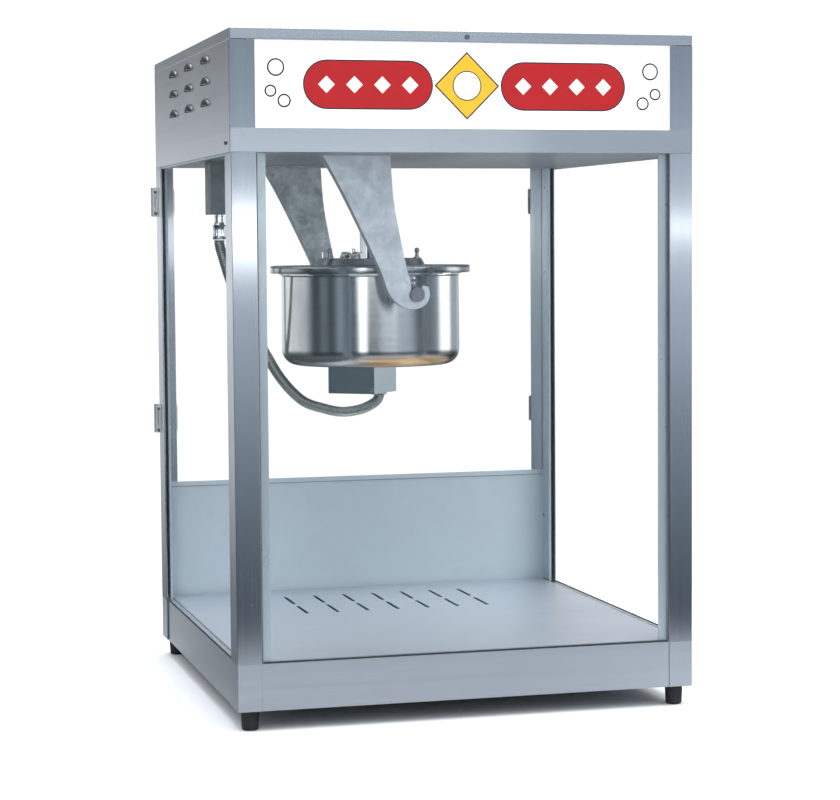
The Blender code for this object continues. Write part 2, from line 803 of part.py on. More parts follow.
def kettle():
    centre = (KETTLE_X, MID, 0)
    corner_r = SHELL_R - SHELL_CORNER
    corner_z = SHELL_BOTTOM + SHELL_CORNER
    profile = [(0.010, SHELL_BOTTOM)]
    profile += arc((corner_r, corner_z), SHELL_CORNER, -90, 0, 5)
    profile += [(SHELL_R, SHELL_TOP), (SHELL_R - SHEET, SHELL_TOP)]
    profile += arc((corner_r, corner_z), SHELL_CORNER - SHEET, 0, -90, 4)
    profile += [(0.010, SHELL_BOTTOM + SHEET)]
    shell = finish(turned("kettle_shell", profile, centre, segments=56), "polished_steel", True)

    bend = 0.030
    bend_z = PAN_BOTTOM + bend
    profile = [(0, PAN_BOTTOM)]
    profile += arc((PAN_R - bend, bend_z), bend, -90, 0, 4)
    profile += [
        (PAN_R, SHELL_TOP + 0.0015),
        (0.150, SHELL_TOP + 0.0015),
        (0.150, SHELL_TOP + 0.0045),
        (PAN_R - PAN_T, SHELL_TOP + 0.0045),
    ]
    profile += arc((PAN_R - bend, bend_z), bend - PAN_T, 0, -90, 3)
    profile += [(0, PAN_BOTTOM + PAN_T)]
    pan = finish(turned("kettle_pan", profile, centre, segments=40), "polished_steel", True)

    # Heating element: an open ring, its gap over the terminal box.
    bm = bmesh.new()
    ring_r, tube_r, sides, steps = 0.085, 0.0055, 8, 24
    start, sweep = math.radians(100), math.radians(-310)
    rings = []
    for i in range(steps + 1):
        a = start + sweep * i / steps
        radial = Vector((math.cos(a), math.sin(a), 0))
        middle = Vector(centre) + radial * ring_r + Vector((0, 0, 0.5385))
        loop = []
        for k in range(sides):
            b = math.tau * k / sides
            loop.append(
                bm.verts.new(
                    middle + tube_r * (math.cos(b) * radial + math.sin(b) * Vector((0, 0, 1)))
                )
            )
        rings.append(loop)
    bm.faces.new(rings[0])
    bm.faces.new(rings[-1])
    for before, after in zip(rings, rings[1:]):
        for k in range(sides):
            bm.faces.new((before[k - 1], before[k], after[k], after[k - 1]))
    element = finish(add("heating_element", bm), "dark_casting", True)

    box = tray(
        "terminal_box", (-0.0406, 0.0406), (-0.0442, 0.0442), (0.473, SHELL_BOTTOM - GAP), 0.0015
    )
    turn = Matrix.Rotation(math.radians(TERMINAL_TURN), 4, "Z")
    for part in (box, bpy.data.objects["terminal_box.hollow"]):
        part.matrix_world = Matrix.Translation((TERMINAL_X, MID, 0)) @ turn
    finish(box, "galvanised")

    pins = [trunnion(end, sy) for end, sy in (("front", -1), ("rear", 1))]

    # Dump handle on the operator's side: a saddle, a rod and a grip.
    hx, hz = 0.010, 0.600
    handle = rod("dump_handle", (hx, MID, hz), 0.006, 0.130, 0.300, "Y", 20)
    saddle = block(
        "dump_handle.saddle",
        (hx - 0.016, hx + 0.016),
        (MID + 0.100, MID + 0.146),
        (hz - 0.015, hz + 0.015),
    )
    shell_space = rod("dump_handle.shell", centre, SHELL_R + GAP, 0.5, 0.75, segments=96)
    tools(handle, "UNION", soften(saddle, 0.002))
    finish(tools(handle, "DIFFERENCE", shell_space), "polished_steel", True)
    profile = [
        (0.0064, 0.210),
        (0.0105, 0.210),
        (0.0130, 0.220),
        (0.0118, 0.262),
        (0.0135, 0.300),
        (0.0110, 0.314),
        (0.0, 0.317),
        (0.0, 0.302),
        (0.0064, 0.302),
    ]
    grip = finish(turned("handle_grip", profile, (hx, MID, hz), "Y", 24), "black_plastic", True)

    strip = crossbar()
    lids = [lid(side, sx) for side, sx in (("left", -1), ("right", 1))]
    axis = (TRUNNION_X, MID, TRUNNION_Z)
    body = [shell, pan, element, box, strip, *pins, handle, grip]
    tilt = pivot("kettle_tilt_axis", axis, *body)
    for piece in lids + [agitator()]:
        empty = piece.parent
        empty.parent = tilt
        empty.matrix_parent_inverse = Matrix.Translation(axis).inverted()


def agitator():
    """Shaft with a tang at the top for the drive, and four arms that sweep the pan."""
    centre = (KETTLE_X, MID, 0)
    low = PAN_BOTTOM + PAN_T + 0.0035
    shaft = turned(
        "agitator",
        [
            (0, low),
            (0.014, low),
            (0.014, low + 0.020),
            (SHAFT_R, low + 0.026),
            (SHAFT_R, BLADE_TOP - 0.015),
            (0, BLADE_TOP - 0.015),
        ],
        centre,
        segments=20,
    )
    tang = block(
        "agitator.tang",
        (KETTLE_X - 0.012, KETTLE_X + 0.012),
        (MID - 0.0035, MID + 0.0035),
        (BLADE_TOP - 0.017, BLADE_TOP),
    )
    reach = 0.114
    long_arm = block(
        "agitator.arms_x",
        (KETTLE_X - reach, KETTLE_X + reach),
        (MID - 0.002, MID + 0.002),
        (low + 0.001, low + 0.014),
    )
    cross_arm = block(
        "agitator.arms_y",
        (KETTLE_X - 0.002, KETTLE_X + 0.002),
        (MID - reach, MID + reach),
        (low + 0.001, low + 0.014),
    )
    finish(tools(shaft, "UNION", tang, long_arm, cross_arm), "polished_steel", True)
    pivot("agitator_axis", (KETTLE_X, MID, 0.7), shaft)
    return shaft


def drive():
    """The gear motor's output shaft, with a slotted dog that the agitator's tang slides out of."""
    profile = [
        (0, COUPLING_LOW),
        (0.018, COUPLING_LOW),
        (0.018, COUPLING_TOP - 0.002),
        (0.016, COUPLING_TOP),
        (0.006, COUPLING_TOP),
        (0.006, 0.866),
        (0, 0.866),
    ]
    dog = turned("drive_coupling", profile, (KETTLE_X, MID, 0), segments=32)
    slot = block(
        "drive_coupling.slot",
        (KETTLE_X - 0.03, KETTLE_X + 0.03),
        (MID - 0.0043, MID + 0.0043),
        (COUPLING_LOW - 0.01, 0.839),
    )
    finish(tools(dog, "DIFFERENCE", slot), "polished_steel", True)
    pivot("drive_axis", (KETTLE_X, MID, COUPLING_TOP), dog)


# ---------------------------------------------------------------- kettle lead
def lead():
    socket = tray(
        "socket_box",
        (SOCKET_X - 0.026, SOCKET_X + 0.026),
        (PLUG_Y - 0.025, PLUG_Y + 0.025),
        (0.763, HEADER_BOTTOM - GAP),
        SHEET,
    )
    finish(socket, "galvanised")
    profile = [
        (0, 0.7230),
        (0.0085, 0.7230),
        (0.0100, 0.7250),
        (0.0100, 0.7450),
        (0.0085, 0.7470),
        (0.0085, 0.7627),
        (0, 0.7627),
    ]
    plug = turned("conduit_plug", profile, (PLUG_X, PLUG_Y, 0), segments=24)
    finish(plug, "chrome", True)

    curve = bpy.data.curves.new("kettle_conduit", "CURVE")
    curve.dimensions = "3D"
    curve.bevel_depth = CONDUIT_R
    curve.bevel_resolution = 3
    curve.use_fill_caps = True
    spline = curve.splines.new("POLY")
    points = smooth_through(CONDUIT_ROUTE, 2)
    spline.points.add(len(points) - 1)
    for target, point in zip(spline.points, points):
        target.co = (*point, 1)
    conduit = bpy.data.objects.new("kettle_conduit", curve)
    bpy.context.scene.collection.objects.link(conduit)
    finish(conduit, "conduit")


def main():
    for obj in list(bpy.data.objects):
        bpy.data.objects.remove(obj)
    base()
    frame()
    header()
    doors()
    hangers()
    kettle()
    drive()
    lead()


main()
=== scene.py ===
"""Popcorn maker: finishes, hardware and fine detail over the CAD model, in the CAD's own frame.

Metres, +Z up, the front faces -Y. Places come from the CAD nodes' boxes wherever they can.
"""

import fnmatch
import math

import bmesh
import bpy
from mathutils import Matrix, Vector


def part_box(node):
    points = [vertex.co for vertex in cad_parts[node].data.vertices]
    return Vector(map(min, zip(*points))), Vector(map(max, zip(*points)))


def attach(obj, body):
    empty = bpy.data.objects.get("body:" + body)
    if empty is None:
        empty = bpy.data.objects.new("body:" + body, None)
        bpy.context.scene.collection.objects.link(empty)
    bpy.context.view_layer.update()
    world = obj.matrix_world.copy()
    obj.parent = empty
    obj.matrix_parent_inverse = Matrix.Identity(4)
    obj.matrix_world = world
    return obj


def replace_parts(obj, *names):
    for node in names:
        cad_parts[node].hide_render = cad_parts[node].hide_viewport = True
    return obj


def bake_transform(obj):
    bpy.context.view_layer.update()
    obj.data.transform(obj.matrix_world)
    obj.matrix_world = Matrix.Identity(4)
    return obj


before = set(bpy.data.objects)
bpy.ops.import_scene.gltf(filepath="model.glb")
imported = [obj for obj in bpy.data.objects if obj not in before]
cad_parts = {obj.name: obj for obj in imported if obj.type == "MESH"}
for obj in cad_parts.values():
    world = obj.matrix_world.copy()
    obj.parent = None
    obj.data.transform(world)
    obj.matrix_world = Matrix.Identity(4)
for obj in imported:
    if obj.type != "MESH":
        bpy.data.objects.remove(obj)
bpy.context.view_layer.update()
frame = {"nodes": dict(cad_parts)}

X, Y, Z = Vector((1, 0, 0)), Vector((0, 1, 0)), Vector((0, 0, 1))
HERE = Matrix.Identity(4)
SIDES = (("left", -1), ("right", 1))


def low(node):
    return Vector(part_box(node)[0])


def high(node):
    return Vector(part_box(node)[1])


def middle(node):
    return (low(node) + high(node)) / 2


HALF = high("post_front_right").x
FRONT = low("post_front_left").y
REAR = high("post_rear_left").y
MID = (FRONT + REAR) / 2
BASE_TOP = high("base_pan").z
HEADER_BOTTOM = low("header_left_panel").z
POST = high("post_front_left").x - low("post_front_left").x
POST_SIDE = high("post_front_left").y - low("post_front_left").y
SHEET = 0.002
PANE = 0.005  # thickness of all the glass
PANE_INSET = 0.0023  # from the cabinet's faces to the fixed panes
DOOR_GAP = 0.0005  # from the rear posts to the doors
SIGN_HALF_W, SIGN_LOW = 0.319, 0.8825  # the opening in the sign frame
KETTLE = middle("kettle_shell").xy
SHELL_R = (high("kettle_shell").x - low("kettle_shell").x) / 2
TILT_X = -0.049  # the kettle tips about the line along Y at TILT_X and TILT_Z
TILT_Z = 0.6365


# ---- node trees
class Nodes:
    """A node tree that is built up node by node."""

    def __init__(self, tree):
        self.tree = tree

    def put(self, socket, value):
        if isinstance(value, bpy.types.NodeSocket):
            self.tree.links.new(value, socket)
        else:
            socket.default_value = value

    def node(self, kind, inputs=(), **settings):
        made = self.tree.nodes.new(kind)
        for name, value in settings.items():
            setattr(made, name, value)
        for name, value in dict(inputs).items():
            self.put(made.inputs[name], value)
        return made

    def span(self, value, start, end, to_low=0, to_high=1, smooth=False):
        """The value's stretch from start to end, as one from to_low to to_high."""
        names = ("Value", "From Min", "From Max", "To Min", "To Max")
        inputs = dict(zip(names, (value, start, end, to_low, to_high)))
        style = "SMOOTHSTEP" if smooth else "LINEAR"
        made = self.node("ShaderNodeMapRange", inputs, interpolation_type=style)
        return made.outputs["Result"]

    def math(self, operation, a, b=0):
        return self.node("ShaderNodeMath", {0: a, 1: b}, operation=operation).outputs[0]

    def weigh(self, *terms):
        """The sum of values, each times its weight."""
        scaled = self.math("MULTIPLY", *terms[0])
        for term in terms[1:]:
            scaled = self.math("ADD", scaled, self.math("MULTIPLY", *term))
        return scaled

    def mix(self, share, a, b, way="MIX"):
        inputs = {"Factor": share, 6: a, 7: b}
        made = self.node("ShaderNodeMix", inputs, data_type="RGBA", blend_type=way)
        return made.outputs[2]

    def mix_vector(self, share, a, b):
        inputs = {"Factor": share, 4: a, 5: b}
        return self.node("ShaderNodeMix", inputs, data_type="VECTOR").outputs[1]

    def part(self, axis, source):
        return self.node("ShaderNodeSeparateXYZ", {"Vector": source}).outputs[axis]


class Look(Nodes):
    """A Principled material, textured by the place on the object."""

    def __init__(self, name, **sockets):
        self.material = bpy.data.materials.new(name)
        self.material.use_nodes = True
        super().__init__(self.material.node_tree)
        self.shader = self.tree.nodes["Principled BSDF"]
        self.place = self.node("ShaderNodeTexCoord").outputs["Object"]
        self.set(**sockets)

    def set(self, **sockets):
        for name, value in sockets.items():
            self.put(self.shader.inputs[name.replace("_", " ")], value)

    def scaled(self, scale):
        inputs = {"Vector": self.place, "Scale": scale}
        return self.node("ShaderNodeMapping", inputs).outputs["Vector"]

    def noise(self, scale, detail=3, rough=0.5, place=None):
        inputs = {"Vector": place or self.place, "Scale": scale, "Detail": detail}
        return self.node("ShaderNodeTexNoise", inputs | {"Roughness": rough}).outputs["Fac"]

    def tones(self, value, start, end, a, b):
        """From colour a to colour b while the value goes from start to end."""
        return self.mix(self.span(value, start, end), a, b)

    def bumped(self, height, strength, distance):
        """The finished material, with a fine relief."""
        inputs = {"Height": height, "Strength": strength, "Distance": distance}
        self.set(Normal=self.node("ShaderNodeBump", inputs).outputs["Normal"])
        return self.material

    def across(self, axis):
        """How far the place lies along an axis."""
        return self.part(axis, self.place)

    def normal(self):
        return self.node("ShaderNodeNewGeometry").outputs["Normal"]

    def facing(self, axis, normal):
        """1 on the faces that look along an axis, either way, and 0 on the others."""
        return self.span(self.math("ABSOLUTE", self.part(axis, normal)), 0.6, 0.8)


# ---- materials
def rgba(r, g, b):
    return (r, g, b, 1)


def shade(colour, factor):
    return tuple(min(1, c * factor) for c in colour[:3]) + (1,)


def grain(look, direction, along, across):
    """Coordinates stretched along the brushing: upright, or level round every upright face."""
    if direction == "upright":
        return look.scaled((across, across, along))
    side = look.facing("X", look.normal())
    front_face = look.scaled((along, across, across))
    side_face = look.scaled((across, along, across))
    return look.mix_vector(side, front_face, side_face)


def brushed(name, colour, direction, roughness=0.22, aniso=0.9, swap=None):
    """Brushed stainless: fine parallel scratches, faint smears and a slightly blue tint.

    Where swap, a function of the look, gives 1, the grain runs the other way. On level faces it
    runs along X.
    """
    fine, coarse = (3, 1100), (0.8, 70)  # scales along and across the grain
    look = Look(name, Metallic=1, Anisotropic=aniso)
    level = look.node("ShaderNodeTangent", direction_type="RADIAL", axis="Z").outputs["Tangent"]
    normal = look.normal()
    rising = look.node("ShaderNodeVectorMath", {0: normal, 1: level}, operation="CROSS_PRODUCT")
    ways = [("upright", level), ("level", rising.outputs["Vector"])]
    if direction == "level":
        ways.reverse()
    stretch = ways[0][1]
    coords = grain(look, ways[0][0], *fine)
    wide = grain(look, ways[0][0], *coarse)
    if swap:
        share = swap(look)
        stretch = look.mix_vector(share, stretch, ways[1][1])
        coords = look.mix_vector(share, coords, grain(look, ways[1][0], *fine))
        wide = look.mix_vector(share, wide, grain(look, ways[1][0], *coarse))
    flat = look.facing("Z", normal)
    along_y_axis = look.node("ShaderNodeCombineXYZ", {"Y": 1}).outputs["Vector"]
    look.set(Tangent=look.mix_vector(flat, stretch, along_y_axis))
    coords = look.mix_vector(flat, coords, look.scaled((fine[0], fine[1], fine[1])))
    wide = look.mix_vector(flat, wide, look.scaled((coarse[0], coarse[1], coarse[1])))
    lines = look.noise(1, 3, 0.6, coords)
    bands = look.noise(1, 2, 0.5, wide)
    smears = look.noise(5, 4, 0.6)
    tone = look.weigh((lines, 0.5), (bands, 0.5))
    tinted = look.tones(tone, 0.3, 0.7, shade(colour, 0.94), shade(colour, 1.05))
    worn = look.span(smears, 0.45, 0.75, 0, 0.35, True)
    look.set(Base_Color=look.mix(worn, tinted, shade(colour, 0.92)))
    rough = look.math("ADD", look.span(lines, 0.3, 0.7, -0.03, 0.03), roughness)
    look.set(Roughness=look.math("ADD", rough, look.span(smears, 0.4, 0.8, 0, 0.04)))
    return look.bumped(lines, 0.04, 0.0001)


def beside_sign(look):
    """1 on the sign frame's two upright members."""
    out, edge = look.math("ABSOLUTE", look.across("X")), 0.0002
    outside = look.span(out, SIGN_HALF_W, SIGN_HALF_W + edge)
    above = look.span(look.across("Z"), SIGN_LOW, SIGN_LOW + edge)
    return look.math("MULTIPLY", outside, above)


def below_glass(look):
    """1 on the posts' feet, which are brushed with the base."""
    return look.span(look.across("Z"), BASE_TOP - 0.0002, BASE_TOP, 1, 0)


def galvanised(name, colour, contrast=1, roughness=0.38, metallic=0.85):
    """Zinc-coated sheet: faint spangle over cloudy patches."""
    look = Look(name, Metallic=metallic)
    cloud = look.noise(34, 5, 0.62)
    fine = look.noise(160, 3, 0.55)
    cells = look.node("ShaderNodeTexVoronoi", {"Vector": look.place, "Scale": 120})
    facets = look.part("X", cells.outputs["Color"])
    tone = look.weigh((cloud, 0.66), (facets, 0.14), (fine, 0.2))
    dark, pale = shade(colour, 1 - 0.2 * contrast), shade(colour, 1 + 0.12 * contrast)
    look.set(Base_Color=look.tones(tone, 0.34, 0.66, dark, pale))
    look.set(Roughness=look.span(tone, 0.3, 0.7, roughness + 0.12, roughness))
    return look.bumped(fine, 0.08, 0.0002)


def spun(name, colour, roughness, heat=False, scale=700):
    """Polished, spun steel: fine rings round it, light scuffs and, low down, a copper tint from
    heating, with painted shade in dark grey-brown on its left and far right.
    """
    look = Look(name, Metallic=1, Anisotropic=0.75)
    upwards = look.node("ShaderNodeCombineXYZ", {"X": 0.03, "Y": 0.02, "Z": 1})
    look.set(Tangent=upwards.outputs["Vector"])
    rings = look.noise(1, 2, 0.5, look.scaled((3, 3, scale)))
    smears = look.noise(16, 4, 0.6, look.scaled((1, 1, 0.45)))
    tinted = look.tones(rings, 0.3, 0.7, shade(colour, 0.93), shade(colour, 1.05))
    if heat:  # painted shade in dark grey-brown on the left, turning to a copper tint from heating towards the right
        low_band = look.span(look.across("Z"), 0.531, 0.541, 1, 0, True)
        along = look.across("X")
        from_left = look.span(along, KETTLE.x - 0.06, KETTLE.x - 0.02, 0, 1, True)
        to_right = look.span(along, KETTLE.x + 0.09, KETTLE.x + 0.125, 1, 0, True)
        copper = look.math("MULTIPLY", from_left, to_right)
        copper_tint_and_shade = look.mix(copper, rgba(0.34, 0.33, 0.32), rgba(0.54, 0.35, 0.18))
        tinted = look.mix(low_band, tinted, copper_tint_and_shade)
    look.set(Base_Color=tinted)
    rough = look.span(smears, 0.42, 0.75, roughness, roughness + 0.08)
    look.set(Roughness=look.math("ADD", rough, look.span(rings, 0.3, 0.7, -0.02, 0.03)))
    return look.bumped(rings, 0.05, 0.0001)


def plated(name, colour, roughness):
    """Bright plating on small hardware, with a thin film of dirt."""
    look = Look(name, Metallic=1)
    film = look.noise(210, 4, 0.6)
    look.set(Base_Color=look.tones(film, 0.4, 0.75, colour, shade(colour, 0.78)))
    look.set(Roughness=look.span(film, 0.35, 0.75, roughness, roughness + 0.14))
    return look.bumped(film, 0.05, 0.0001)


def moulded(name, colour, roughness, texture=520, relief=0.25):
    """Moulded plastic or rubber with a fine, even texture and a little dust."""
    look = Look(name)
    fine = look.noise(texture, 2, 0.5)
    dust = look.noise(38, 4, 0.6)
    dusty = look.span(dust, 0.5, 0.8, 0, 0.3, True)
    pale = tuple(c * 0.75 + 0.055 for c in colour[:3]) + (1,)
    look.set(Base_Color=look.mix(dusty, colour, pale))
    look.set(Roughness=look.span(fine, 0.3, 0.7, roughness - 0.05, roughness + 0.08))
    return look.bumped(fine, relief, 0.0002)


def cast(name, colour):
    """Painted casting: pebbled paint, worn lighter on its highest grains."""
    look = Look(name, Metallic=0.25)
    pebble = look.noise(330, 3, 0.55)
    cloud = look.noise(30, 3, 0.6)
    base = look.tones(cloud, 0.3, 0.7, shade(colour, 0.8), shade(colour, 1.25))
    worn = look.span(pebble, 0.62, 0.75, 0, 0.5)
    look.set(Base_Color=look.mix(worn, base, shade(colour, 2.2)))
    look.set(Roughness=look.span(pebble, 0.3, 0.7, 0.62, 0.42))
    return look.bumped(pebble, 0.45, 0.0005)


def glazing(name, colour):
    """Clear glass that is faintly green, with wiping marks that only change its gloss."""
    look = Look(name, Alpha=0.02, IOR=1.52, Specular_IOR_Level=0.9)
    wiped = look.noise(1, 4, 0.6, look.scaled((9, 9, 3)))
    tint = look.span(wiped, 0.35, 0.7, 0, 1, True)
    look.set(Base_Color=look.mix(tint, colour, rgba(0.36, 0.48, 0.46)))
    look.set(Roughness=look.span(wiped, 0.45, 0.8, 0.015, 0.07, True))
    return look.material


def lit(name, colour, glow, strength):
    """A white translucent surface with a lamp behind it."""
    look = Look(name, Emission_Color=glow, Emission_Strength=strength)
    cloud = look.noise(7, 2, 0.5)
    look.set(Base_Color=look.tones(cloud, 0.3, 0.7, shade(colour, 0.965), colour))
    grains = look.noise(420, 2, 0.5)
    look.set(Roughness=look.span(grains, 0.3, 0.7, 0.26, 0.36))
    return look.bumped(grains, 0.04, 0.0001)


def ink(name, colour, glow=0.25):
    """Screen-printed ink on the lit sign, a little uneven where it went on thin."""
    look = Look(name, Emission_Color=colour, Emission_Strength=glow)
    thin = look.noise(60, 4, 0.6)
    dots = look.noise(900, 1, 0.5)
    look.set(Base_Color=look.mix(look.span(thin, 0.4, 0.75, 0, 0.5), colour, shade(colour, 1.12)))
    look.set(Roughness=look.span(dots, 0.3, 0.7, 0.36, 0.46))
    return look.bumped(dots, 0.06, 0.0001)


LOOKS, SLOTS = {}, {}  # each look's material, and the slot of the record that it stands for


def looks(slot, maker, **rows):
    """Makes materials, each from a row: the CAD nodes that wear it, its colour, its settings."""
    for name, (wearers, colour, *settings) in rows.items():
        LOOKS[name] = maker(name, rgba(*colour), *settings)
        SLOTS[name] = slot
        for pattern in wearers.split():
            for node in fnmatch.filter(frame["nodes"], pattern):
                materials = frame["nodes"][node].data.materials
                materials.clear()
                materials.append(LOOKS[name])


STEEL = (0.62, 0.65, 0.69)
looks(
    "brushed_steel", brushed,
    steel_level=("base_pan crumb_drawer header_*_panel header_cover", STEEL, "level"),
    steel_upright=("post_*", STEEL, "upright", 0.22, 0.9, below_glass),
    sign_frame=("sign_frame", STEEL, "level", 0.22, 0.9, beside_sign),
    steel_inside=("header_floor corn_deck", (0.62, 0.66, 0.71), "level", 0.34, 0.5),
    # The louvre hoods: the panels' steel, made far darker as painted shade for the dark
    # reflections in them.
    louvre=("", (0.2, 0.22, 0.24), "level", 0.2, 0.3),
)
looks(
    "brushed_steel", galvanised,
    apron=("rear_apron", (0.6, 0.68, 0.73), 0.15, 0.4, 0.25),
    channel=("", (0.56, 0.64, 0.68), 0.2, 0.26, 0.6),
)
looks(
    "galvanised", galvanised,
    galvanised=("hanger_front", (0.82, 0.87, 0.93), 0.8),
    # The rear hanger: the front hanger's galvanised sheet, a little darker as painted shade.
    galvanised_dull=("hanger_rear", (0.78, 0.84, 0.9), 1.7),
    box_steel=("terminal_box", (0.78, 0.87, 0.89), 0.15, 0.16, 1),
    # The socket box: galvanised sheet made dark as painted shade.
    socket_steel=("socket_box", (0.22, 0.255, 0.26),),
)
looks(
    "polished_steel", spun,
    # The kettle pan: low down a copper tint from heating, and painted shade in grey-brown on its
    # left and far right.
    kettle_steel=("kettle_pan", (0.8, 0.81, 0.82), 0.17, True),
    lid_steel=("", (0.64, 0.66, 0.68), 0.22, False, 350),
)
looks(
    "polished_steel", plated,
    rod_steel=("dump_handle agitator drive_coupling door_*_pull", (0.7, 0.71, 0.73), 0.16),
    # The trunnion pins: the rods' plated steel, darkened as painted shade inside the hooks.
    pin_steel=("trunnion_*", (0.3, 0.3, 0.33), 0.3),
)
looks(
    "chrome", plated,
    hinge_plate=("hinge_*", (0.96, 0.96, 0.97), 0.4),
    chrome=("", (0.86, 0.87, 0.88), 0.06),
    screw=("", (0.3, 0.31, 0.33), 0.26),
)
looks("conduit", plated, conduit=("", (0.38, 0.39, 0.37), 0.26))
looks("glass", glazing, glass=("glass_* door_*_pane", (0.3, 0.42, 0.4),))
looks("glass", moulded, glass_edge=("", (0.46, 0.64, 0.6), 0.2, 300, 0.05))
looks("acrylic", lit, sign=("sign_panel", (0.95, 0.95, 0.93), rgba(1, 0.99, 0.96), 0.55))
looks("lamp", lit, lamp=("sign_lamp_tube", (0.95, 0.95, 0.92), rgba(1, 0.97, 0.9), 1.2))
looks(
    "acrylic", ink,
    ink_red=("", (0.58, 0.01, 0.014), 0.1),
    ink_yellow=("", (0.9, 0.55, 0.03),),
    ink_dark=("", (0.035, 0.035, 0.045), 0),
    ink_cream=("", (0.92, 0.9, 0.8), 0.4),
)
looks("white_enamel", moulded, enamel=("sign_lamp_batten", (0.82, 0.82, 0.79), 0.38, 260, 0.08))
looks(
    "dark_casting", cast,
    casting=("gear_motor", (0.09, 0.1, 0.115),),
    element=("heating_element", (0.13, 0.11, 0.1),),
)
looks(
    "black_plastic", moulded,
    plastic=("*_switch cord_gland door_catch", (0.028, 0.028, 0.03), 0.42),
    grip=("handle_grip", (0.022, 0.022, 0.024), 0.38, 300, 0.4),
)
looks(
    "rubber", moulded,
    rubber=("foot_*", (0.014, 0.014, 0.016), 0.66, 420, 0.5),
    gasket=("", (0.02, 0.022, 0.026), 0.55, 620, 0.2),
    # Dark grey: painted shade in the header's joints and under the apron's hem, and also the
    # sealant beside the front posts.
    seam=("", (0.07, 0.08, 0.09), 0.5),
)


# ---- making pieces
def add_object(name, data):
    obj = bpy.data.objects.new(name, data)
    bpy.context.scene.collection.objects.link(obj)
    return obj


def to_mesh(name, bm, smooth=0, look=None):
    """A bmesh as a mesh, smooth over edges of less than so many degrees."""
    bmesh.ops.recalc_face_normals(bm, faces=bm.faces)
    mesh = bpy.data.meshes.new(name)
    bm.to_mesh(mesh)
    bm.free()
    if smooth:
        mesh.shade_smooth()
        mesh.set_sharp_from_angle(angle=math.radians(smooth))
    if look:
        mesh.materials.append(LOOKS[look])
    return mesh


def show(name, mesh, look, body="cabinet", place=None):
    """Puts a mesh in the scene as a piece that rides on a body."""
    obj = add_object(name, mesh)
    if not mesh.materials:
        mesh.materials.append(LOOKS[look])
    if place is not None:
        obj.matrix_world = place
    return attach(obj, body)


def piece(name, bm, look, body="cabinet", smooth=0):
    return show(name, to_mesh(name, bm, smooth), look, body)


def soften(obj, width, segments=2):
    bevel = obj.modifiers.new("edges", "BEVEL")
    bevel.width = width
    bevel.segments = segments
    bevel.limit_method = "ANGLE"
    bevel.angle_limit = math.radians(40)
    return obj


def frame_at(origin, along, up=None):
    """A matrix whose Z axis points along a direction and whose origin is at a point."""
    z = Vector(along).normalized()
    x = (Vector(up) if up is not None else (X if abs(z.x) < 0.9 else Y)).cross(z).normalized()
    return Matrix.Translation(origin) @ Matrix((x, z.cross(x), z)).transposed().to_4x4()


def along_y(x=0, z=0, y=MID):
    """A frame whose X axis stays, whose Y axis runs up and whose Z axis runs along +Y."""
    return Matrix(((1, 0, 0, x), (0, 0, 1, y), (0, 1, 0, z), (0, 0, 0, 1)))


def skin(bm, rings, closed=False):
    """Joins each ring of vertices to the next, and if closed the last to the first."""
    for i in range(0 if closed else 1, len(rings)):
        before, after = rings[i - 1], rings[i]
        for k in range(len(after)):
            corners = (before[k - 1], before[k], after[k], after[k - 1])
            corners = list(dict.fromkeys(corners))  # a ring may be one vertex many times
            if len(corners) > 2:
                bm.faces.new(corners)


def extrude(bm, outline, place, start, end):
    """Adds a closed outline, extruded between two heights of the given frame, to a bmesh."""
    rings = []
    for height in (start, end):
        rings.append([bm.verts.new(place @ Vector((a, b, height))) for a, b in outline])
        bm.faces.new(rings[-1])
    skin(bm, rings)
    return bm


def prism(name, outline, place, start, end, look, body="cabinet", smooth=0):
    return piece(name, extrude(bmesh.new(), outline, place, start, end), look, body, smooth)


def turned(segments, start=0):
    return [start + math.tau * k / segments for k in range(segments)]


def lathe(bm, profile, place, segments=24, scallop=None):
    """Adds a closed (radius, height) profile, turned about Z, to a bmesh."""
    rings = []
    for radius, height in profile:
        if radius < 1e-7:
            rings.append([bm.verts.new(place @ Vector((0, 0, height)))] * segments)
            continue
        ring = []
        for k, a in enumerate(turned(segments)):
            r = radius * (scallop(k, height) if scallop else 1)
            ring.append(bm.verts.new(place @ Vector((r * math.cos(a), r * math.sin(a), height))))
        rings.append(ring)
    skin(bm, rings, closed=True)
    return bm


def arc(centre, radius, start, end, steps):
    """Points along a circle, from one angle to another in degrees."""
    angles = [math.radians(start + (end - start) * k / steps) for k in range(steps + 1)]
    return [(centre[0] + radius * math.cos(a), centre[1] + radius * math.sin(a)) for a in angles]


def rounded(width, height, radius, steps=5):
    """The outline of a rectangle with round corners, centred on the origin."""
    outline = []
    for sx, sy, start in ((1, 1, 0), (-1, 1, 90), (-1, -1, 180), (1, -1, 270)):
        corner = (sx * (width / 2 - radius), sy * (height / 2 - radius))
        outline += arc(corner, radius, start, start + 90, steps)
    return outline


def regular(sides, radius, turn=0):
    return [(radius * math.cos(a), radius * math.sin(a)) for a in turned(sides, turn)]


def smooth_through(points, steps):
    """A Catmull-Rom curve through the points, with some steps between each two."""
    pts = [Vector(p) for p in points]
    pts = [2 * pts[0] - pts[1]] + pts + [2 * pts[-1] - pts[-2]]
    curve = []
    for a, b, c, d in zip(pts, pts[1:], pts[2:], pts[3:]):
        for k in range(steps):
            t = k / steps
            bend = (2 * a - 5 * b + 4 * c - d) * t**2 + (3 * b - a - 3 * c + d) * t**3
            curve.append(0.5 * (2 * b + (c - a) * t + bend))
    curve.append(pts[-2])
    return curve


# ---- camera
def look_through_camera():
    data = bpy.data.cameras.new("camera")
    data.sensor_width = 36
    data.lens = 99.5
    data.clip_end = 60
    camera = add_object("camera", data)
    camera.location = (-0.9723, -3.6854, 0.7137)
    camera.rotation_euler = [math.radians(a) for a in (86.1489, 0.4244, -15.1607)]
    bpy.context.scene.camera = camera


